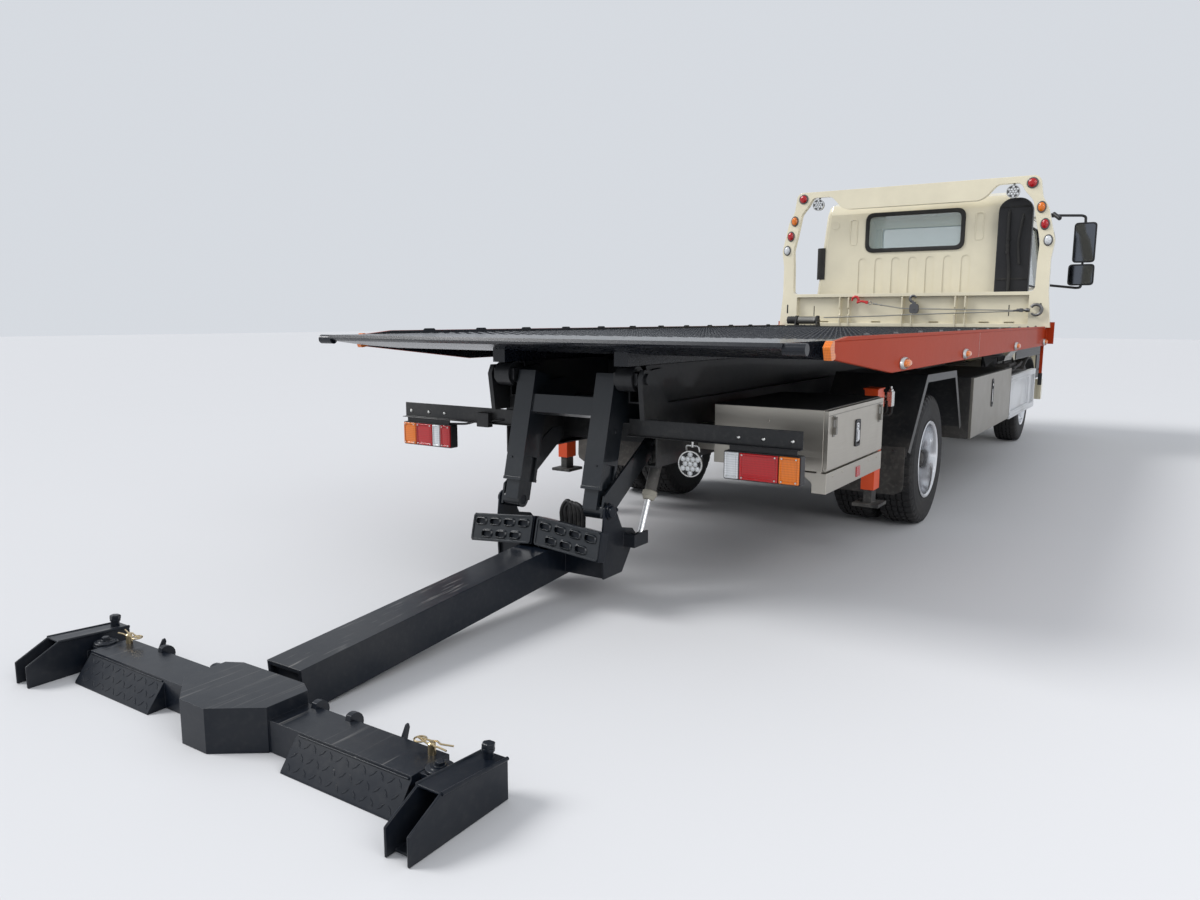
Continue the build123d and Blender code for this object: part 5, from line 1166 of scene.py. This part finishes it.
# Wipers, handles and window seals: two black wiper arms parked along the foot of the windscreen,
# a black recess with a pull bar in each door, and a rubber channel round each door window.
wipers = Form()
for pivot in (-0.1, 0.64):
    wipers.turned([(0.0, 0.02), (0.022, 0.018), (0.028, 0.01)], on_screen(pivot, 1.515, 0.0), screen_out, 20)
    wipers.tube([on_screen(pivot, 1.515, 0.022), on_screen(pivot - 0.1, 1.535, 0.034),
                 on_screen(pivot - 0.4, 1.592, 0.034)],
                [0.008, 0.007, 0.005])
    wipers.tube([on_screen(pivot - 0.68, 1.601, 0.014), on_screen(pivot - 0.4, 1.592, 0.027),
                 on_screen(pivot - 0.12, 1.571, 0.014)],
                0.0045)
    wipers.tube([on_screen(pivot - 0.69, 1.6, 0.006), on_screen(pivot - 0.4, 1.587, 0.006),
                 on_screen(pivot - 0.11, 1.57, 0.006)],
                0.005)
piece("wipers", wipers, plastic, "cab")
for name, side in sides:
    handle = Form()
    handle_y = front_axle + 0.4
    handle_z = 1.36
    bar_z = 1.362
    bar_x = side * (cab_half + 0.02)
    handle.pierced(oblong((handle_y, handle_z), 0.085, 0.034, 0.02),
                   [oblong((handle_y, handle_z), 0.074, 0.023, 0.014)], 0,
                   (side * cab_half, side * (cab_half + 0.006)))
    handle.plate(oblong((handle_y, handle_z), 0.075, 0.024, 0.014), 0,
                 (side * (cab_half - 0.001), side * (cab_half + 0.001)))
    bar_line = [(side * cab_half, handle_y - 0.066, bar_z), (bar_x, handle_y - 0.066, bar_z),
                (bar_x, handle_y + 0.05, bar_z), (side * cab_half, handle_y + 0.05, bar_z)]
    handle.tube(eased(bar_line, 0.012, False), 0.0085, 12)
    handle.turned([(0, 0.009), (0.003, 0.009)], (side * (cab_half + 0.001), handle_y + 0.066, 1.35),
                  (side, 0, 0), 16)
    piece("door_handle_" + name, handle, plastic, "door_" + name, edge=0.001)
    window_seal = Form()
    frame_line = eased([(side * (cab_half + 0.0005 - (z - 1.45) * 0.101), front_axle + step, z) for step, z in
                        ((0.4, 1.58), (0.32, 2.18), (-0.5, 2.18), (-0.7, 1.64), (-0.7, 1.58))], 0.03)
    window_seal.tube(frame_line + [frame_line[0]], 0.009, 8)
    piece("window_seal_" + name, window_seal, rubber, "door_" + name)

# Inside the cab: grey cloth seats on the floor, and a moulded dashboard with the steering wheel.
# They are seen only through the glass.
cloth = Finish("seat_cloth", (0.09, 0.09, 0.105), 0.9)
weave = cloth.node("TexWave", {"bands_direction": "X"}, {"Vector": cloth.place, "Scale": 190.0})
cross_weave = cloth.node("TexWave", {"bands_direction": "Z"}, {"Vector": cloth.place, "Scale": 190.0})
threads = weave * 0.5 + cross_weave * 0.5
cloth.give("Base Color", cloth.over(threads, (0.06, 0.06, 0.07), (0.13, 0.13, 0.15)))
cloth.dent(threads, 0.0006)
dress("seats", cloth, 0.04)
dress("dashboard", plastic, 0.02)

# Mirrors: black moulded heads, one over the other, on two bent tubes that are bolted to each side
# of the cab. Each head holds a flat glass, made dark as a painted reflection of dark surroundings.
mirror_y = front_axle - 0.83
arm_top_y = front_axle - 0.64
arm_foot_y = front_axle - 0.865
# The mirror glass is made dark: a painted reflection of dark surroundings.
mirror_glass_painted_dark = Finish("mirror_glass_painted_dark", (0.13, 0.14, 0.16), 0.05, 1.0, slot="rim_bright")
mirror_glass_painted_dark.give("Roughness", mirror_glass_painted_dark.clouds(4.0) * 0.05 + 0.03)
mirror_faces = Form()
mirror_heads = Form()
head_rows = ((-0.06, 0.03), (-0.052, 0.014), (-0.036, 0.003), (-0.02, 0.0), (-0.003, 0.0), (0.0, 0.003),
             (0.0, 0.012), (-0.006, 0.014))
for side in (-1, 1):
    for x, z, wide, tall in ((1.3275, 2.06, 0.1075, 0.21), (1.315, 1.7225, 0.125, 0.1125)):
        mirror_heads.skin([[spot(point, 1, mirror_y + back)
                            for point in oblong((side * x, z), wide - inset, tall - inset, 0.04)]
                           for back, inset in head_rows])
        mirror_faces.plate(oblong((side * x, z), wide - 0.0145, tall - 0.0145, 0.03), 1,
                           (mirror_y - 0.0062, mirror_y - 0.004))
    rod_y = mirror_y - 0.03
    mirror_heads.tube([(side * 1.32, rod_y, 1.83), (side * 1.32, rod_y, 1.855)], 0.012)
    mirror_heads.tube(eased([(side * 0.905, arm_top_y, 2.32), (side * 0.95, front_axle - 0.65, 2.345),
                             (side * 1.285, rod_y, 2.345), (side * 1.318, rod_y, 2.33),
                             (side * 1.32, rod_y, 2.26)], 0.05, False, 6),
                      0.0135, 12)
    mirror_heads.tube(eased([(side * 0.966, arm_foot_y, 1.7), (side * 0.99, arm_foot_y, 1.62),
                             (side * 1.28, rod_y, 1.585), (side * 1.318, rod_y, 1.59),
                             (side * 1.32, rod_y, 1.62)], 0.04, False, 6),
                      0.0135, 12)
    for y, z, x in ((arm_top_y, 2.32, 0.892), (arm_foot_y, 1.7, 0.9555)):
        mirror_heads.plate(oblong((y, z), 0.03, 0.045, 0.02), 0, (side * x, side * (x + 0.016)))
    mirror_heads.block((side * 1.0, side * 1.05), (front_axle - 0.72, front_axle - 0.66), (2.325, 2.365))
    mirror_heads.tube([(side * 1.03, front_axle - 0.67, 2.36), (side * 1.1, front_axle - 0.6, 2.3)], 0.022, 14)
piece("mirror_heads", mirror_heads, plastic, "cab", edge=0.003, replaces=["mirrors"])
piece("mirror_faces", mirror_faces, mirror_glass_painted_dark, "cab", edge=0.001)

# Air intake: a tall black moulded duct behind the right rear corner of the cab, with two hoses
# clipped to its face.
dress("air_intake", plastic, 0.02)
intake_face = cab_rear + 0.075
intake_pipes = Form()
intake_pipes.tube(eased([(-0.87, intake_face - 0.005, 2.24), (-0.87, intake_face + 0.02, 2.2),
                         (-0.875, intake_face + 0.02, 1.9),
                         (-0.9, intake_face + 0.022, 1.7), (-0.9, intake_face + 0.015, 1.42)], 0.05,
                         False), 0.014)
intake_pipes.tube(eased([(-0.99, intake_face - 0.005, 2.2), (-0.985, intake_face + 0.018, 2.15),
                         (-0.96, intake_face + 0.02, 1.95),
                         (-0.98, intake_face + 0.02, 1.75)], 0.05, False), 0.011)
for z in (1.86, 1.92, 1.98):
    intake_pipes.turned([(-0.012, 0.018), (0.012, 0.018)], (-0.876, intake_face + 0.02, z), (0, 0, 1), 16)
for z in (1.5, 1.62, 2.27):
    intake_pipes.block((-1.055, -0.785), (intake_face - 0.002, intake_face + 0.006), (z - 0.008, z + 0.008))
piece("intake_pipes", intake_pipes, rubber, "cab", edge=0.001)

# Boom: a box section welded up from plate, with a second section that slides in it. Its heel is
# pinned in the mast's feet, with two tread plates over it.
dress("boom_outer", boom_black, 0.005)
dress("boom_inner", boom_black, 0.003)
dress("boom_cylinder_barrel", cylinder_black, 0.003)
dress("boom_cylinder_rod", rod_chrome, 0.002)
gland_grey = paint("gland_grey", (0.46, 0.43, 0.35), 0.6, dust=0.5, slot="cylinder_grey")
barrel_eye = Vector((-0.328, rear_axle + 2.04, 0.68))
rod_way = (Vector((-0.328, rear_axle + 2.23, 0.27)) - barrel_eye).normalized()
gland = Form()
gland.turned([(0.232, 0.0275), (0.236, 0.034), (0.256, 0.035), (0.26, 0.03), (0.275, 0.026), (0.277, 0.0155),
              (0.232, 0.0155)],
             barrel_eye, rod_way, 32, hollow=True)
piece("boom_gland", gland, gland_grey, "boom_barrel", edge=0.001)
heel_hoses = Form()
for k in range(4):
    x = -0.035 - 0.022 * k
    heel_hoses.tube(eased([(x, rear_axle + 2.41, 0.2615), (x + 0.01, rear_axle + 2.42, 0.4 + 0.012 * k),
                           (x - 0.04, rear_axle + 2.43, 0.455 - 0.01 * k), (x - 0.052, rear_axle + 2.425, 0.39),
                           (x - 0.045, rear_axle + 2.42, 0.2615)], 0.05, False), 0.0105, 12)
piece("heel_hoses", heel_hoses, hose_rubber, "boom")
pad_corner = Vector((0.0, rear_axle + 2.57, 0.39))
for side in (-1, 1):
    tread = Form()
    holes = []
    for below, shift, count in ((0.036, 0.0, 4), (0.092, 0.039, 3)):
        for k in range(count):
            holes.append(((0.052 + shift + k * 0.08, below), 0.026, 0.0125))
    outline = oblong((0.171, 0.0635), 0.168, 0.061, 0.014, 4)
    tread.pierced(outline, [oblong(middle, wide, tall, 0.012, 4) for middle, wide, tall in holes], 2,
                  (0.0005, 0.006))
    tread.pierced(outline, [oblong((0.171, 0.0635), 0.16, 0.053, 0.01, 4)], 2, (0.0055, 0.0095))
    for middle, wide, tall in holes:
        lip = ((0.008, 0.0055), (0.005, 0.012), (0.0015, 0.0145), (0.0, 0.0145), (0.0, 0.0005))
        tread.skin([[(*point, out) for point in oblong(middle, wide + more, tall + more, 0.012 + more, 4)]
                    for more, out in lip],
                   ends=False)
    for corner in tread.mesh.verts:
        along, below, out = corner.co
        slope = along * 0.028 / 0.342
        along_foot = pad_corner + Vector((side * (0.008 + along), 0.0, 0.0))
        corner.co = along_foot + mast_down * (below + slope) + mast_back * out
    piece("tread_plate_" + ("left" if side > 0 else "right"), tread, mast_black, "boom", edge=0.0012)
elbow_pins = Form()
elbow = mast_top + mast_down * 0.6 - mast_back * 0.06
for side in (-1, 1):
    elbow_pins.turned([(0, 0.034), (0.006, 0.034), (0.006, 0.026), (0.016, 0.026), (0.018, 0.02)],
                      (side * 0.297, elbow.y, elbow.z), (side, 0, 0), 28)
    elbow_pins.bolt((side * 0.297, elbow.y - 0.052, elbow.z), (side, 0, 0), 0.008)
piece("elbow_pins", elbow_pins, boom_black, "boom", edge=0.001)

# Crossbar: a head box that turns on the boom's upright pin, with an arm to each side. The arms have
# chequered ramps behind, lugs in front, and a forked ear for each wheel holder.
dress("crossbar", boom_black, 0.004)
arm_rear = rear_axle + 4.115
ramp_foot = arm_rear + 0.062
ramp_studs = Form()
ramp_rise = Vector((0.0, -0.06, 0.082)).normalized()
for side in (-1, 1):
    start = Vector((0.765 if side > 0 else -0.338, ramp_foot - 0.002, 0.008))
    studs(ramp_studs, start, (-1, 0, 0), ramp_rise, (13, 3), 0.033, 0.0155)
piece("ramp_studs", ramp_studs, boom_black, "crossbar")
arm_lugs = Form()
arm_front = rear_axle + 3.975
ear_x = 0.812
ear_y = rear_axle + 4.045
lug_places = {-1: ((-0.4, 0.011), (-0.25, 0.011)), 1: ((0.26, 0.011), (0.56, 0.011))}
for side in (-1, 1):
    for x, thick in lug_places[side]:
        outline = [(arm_front + 0.02, 0.096)] + [
            (arm_front - 0.002 + 0.032 * math.cos(math.radians(a)), 0.088 + 0.032 * math.sin(math.radians(a)))
            for a in range(60, 271, 21)] + [(arm_front + 0.002, 0.056)]
        arm_lugs.plate(outline, 0, (x - thick, x + thick))
    arm_lugs.plate([(arm_front + 0.001, 0.05), (arm_front + 0.001, 0.094), (arm_front - 0.018, 0.128),
                    (arm_front - 0.027, 0.13),
                    (arm_front - 0.03, 0.118), (arm_front - 0.012, 0.06)], 0,
                    (side * 0.6 - 0.004, side * 0.6 + 0.004))
    for z in (0.0985, 0.014):
        arm_lugs.turned([(0, 0.039), (0.006, 0.039), (0.008, 0.036), (0.008, 0.028), (0.011, 0.027)],
                        (side * ear_x, ear_y, z), (0, 0, 1), 32)
    arm_lugs.bolt((side * ear_x, ear_y, 0.1095), (0, 0, 1), 0.014)
    arm_lugs.block((side * 0.338, side * 0.772), (arm_rear - 0.004, arm_rear + 0.004), (0.0885, 0.093))
piece("arm_lugs", arm_lugs, boom_black, "crossbar", edge=0.0015)
brass = metal("clip_brass", (0.5, 0.4, 0.24), 0.3, dust=0.1, slot="tackle_steel", brush=0.05)
for name, side in sides:
    clip = Form()
    x = side * 0.74
    y = rear_axle + 4.0
    clip.turned([(-0.012, 0.011), (0.03, 0.011), (0.034, 0.007)], (x, y, 0.1), (0, 0, 1), 18)
    loop = []
    for k in range(15):
        angle = math.radians(200 - 26 * k)
        loop.append((x - side * (0.046 - 0.017 * math.cos(angle)), y - 0.004 + 0.017 * math.sin(angle), 0.128))
    clip.tube([(x + side * 0.058, y + 0.006, 0.127), (x + side * 0.03, y + 0.004, 0.128),
               (x - side * 0.01, y + 0.004, 0.127)]
              + loop + [(x - side * 0.012, y - 0.012, 0.129), (x + side * 0.004, y - 0.017, 0.13),
                        (x + side * 0.022, y - 0.011, 0.129), (x + side * 0.06, y - 0.02, 0.13)], 0.0027, 8)
    piece("lock_clip_" + name, clip, brass, "crossbar")

# Wheel holders: folded plate channels, open to the rear, that swing in the crossbar's ears. Each
# has a round bar along both of its top edges, and a stop knob.
for name, side in sides:
    dress("holder_" + name, boom_black, 0.004)
    knob = Form()
    x = side * 0.903
    y = rear_axle + 3.96
    knob.turned([(-0.034, 0.015), (-0.006, 0.015), (-0.006, 0.018), (0.002, 0.018)], (x, y, 0.145),
                (0, -0.1, 1), 24)
    knob.turned([(0.002, 0.019), (0.014, 0.019), (0.017, 0.015)], (x, y, 0.145), (0, -0.1, 1), 6)
    piece("holder_knob_" + name, knob, boom_black, "holder_" + name, edge=0.001)
    bead = Form()
    for edge_x in (0.8625, 0.9445):
        bead.tube([(side * edge_x, rear_axle + 3.932, 0.1165),
                   (side * edge_x, rear_axle + 4.178, 0.1332)], 0.0055, 12)
    piece("holder_bead_" + name, bead, boom_black, "holder_" + name)

# Floor, light and camera: a plain pale floor under a wide soft sun and one square fill light, seen
# from the photograph's place behind the right rear corner.
floor_mesh = bpy.data.meshes.new("floor")
floor_form = bmesh.new()
bmesh.ops.create_grid(floor_form, x_segments=1, y_segments=1, size=60.0)
floor_form.to_mesh(floor_mesh)
floor = bpy.data.objects.new("floor", floor_mesh)
bpy.context.scene.collection.objects.link(floor)
pale = Finish("floor", (0.62, 0.62, 0.63), 0.7)
pale.give("Roughness", pale.clouds(1.5) * 0.1 + 0.65)
floor_mesh.materials.append(pale.material)

world = bpy.data.worlds.new("studio")
bpy.context.scene.world = world
world.use_nodes = True
world.node_tree.nodes["Background"].inputs["Color"].default_value = (0.9, 0.94, 1.0, 1.0)
world.node_tree.nodes["Background"].inputs["Strength"].default_value = 0.75
key = bpy.data.lights.new("key", "SUN")
key.energy = 2.3
key.angle = math.radians(24)
fill = bpy.data.lights.new("fill", "AREA")
fill.shape = "SQUARE"
fill.size = 6.0
fill.energy = 350.0
for light, place in ((key, (8.0, 4.5, 9.0)), (fill, (-9.0, 6.0, 6.0))):
    lamp = bpy.data.objects.new(light.name, light)
    bpy.context.scene.collection.objects.link(lamp)
    lamp.location = place
    lamp.rotation_euler = (Vector((0.0, 0.0, 1.0)) - lamp.location).to_track_quat("-Z", "Y").to_euler()

eye = Vector((-2.339, 6.261, 1.255))
yaw = math.radians(33.342)
pitch = math.radians(8.474)
roll = math.radians(0.13)
level = Vector((math.sin(yaw), -math.cos(yaw), 0.0))
rise = Vector((0.0, 0.0, 1.0))
ahead = level * math.cos(pitch) - rise * math.sin(pitch)
above = rise * math.cos(pitch) + level * math.sin(pitch)
across = Vector((-math.cos(yaw), -math.sin(yaw), 0.0))
right = across * math.cos(roll) + above * math.sin(roll)
top = above * math.cos(roll) - across * math.sin(roll)
photo_camera = bpy.data.cameras.new("camera")
photo_camera.sensor_width = 36.0
photo_camera.lens = 26.625
photo_camera.clip_end = 200.0
camera = bpy.data.objects.new("camera", photo_camera)
bpy.context.scene.collection.objects.link(camera)
turn = Matrix((right, top, -ahead)).transposed()
camera.matrix_world = Matrix.Translation(eye) @ turn.to_4x4()
bpy.context.scene.camera = camera
bpy.context.scene.view_settings.view_transform = "Standard"
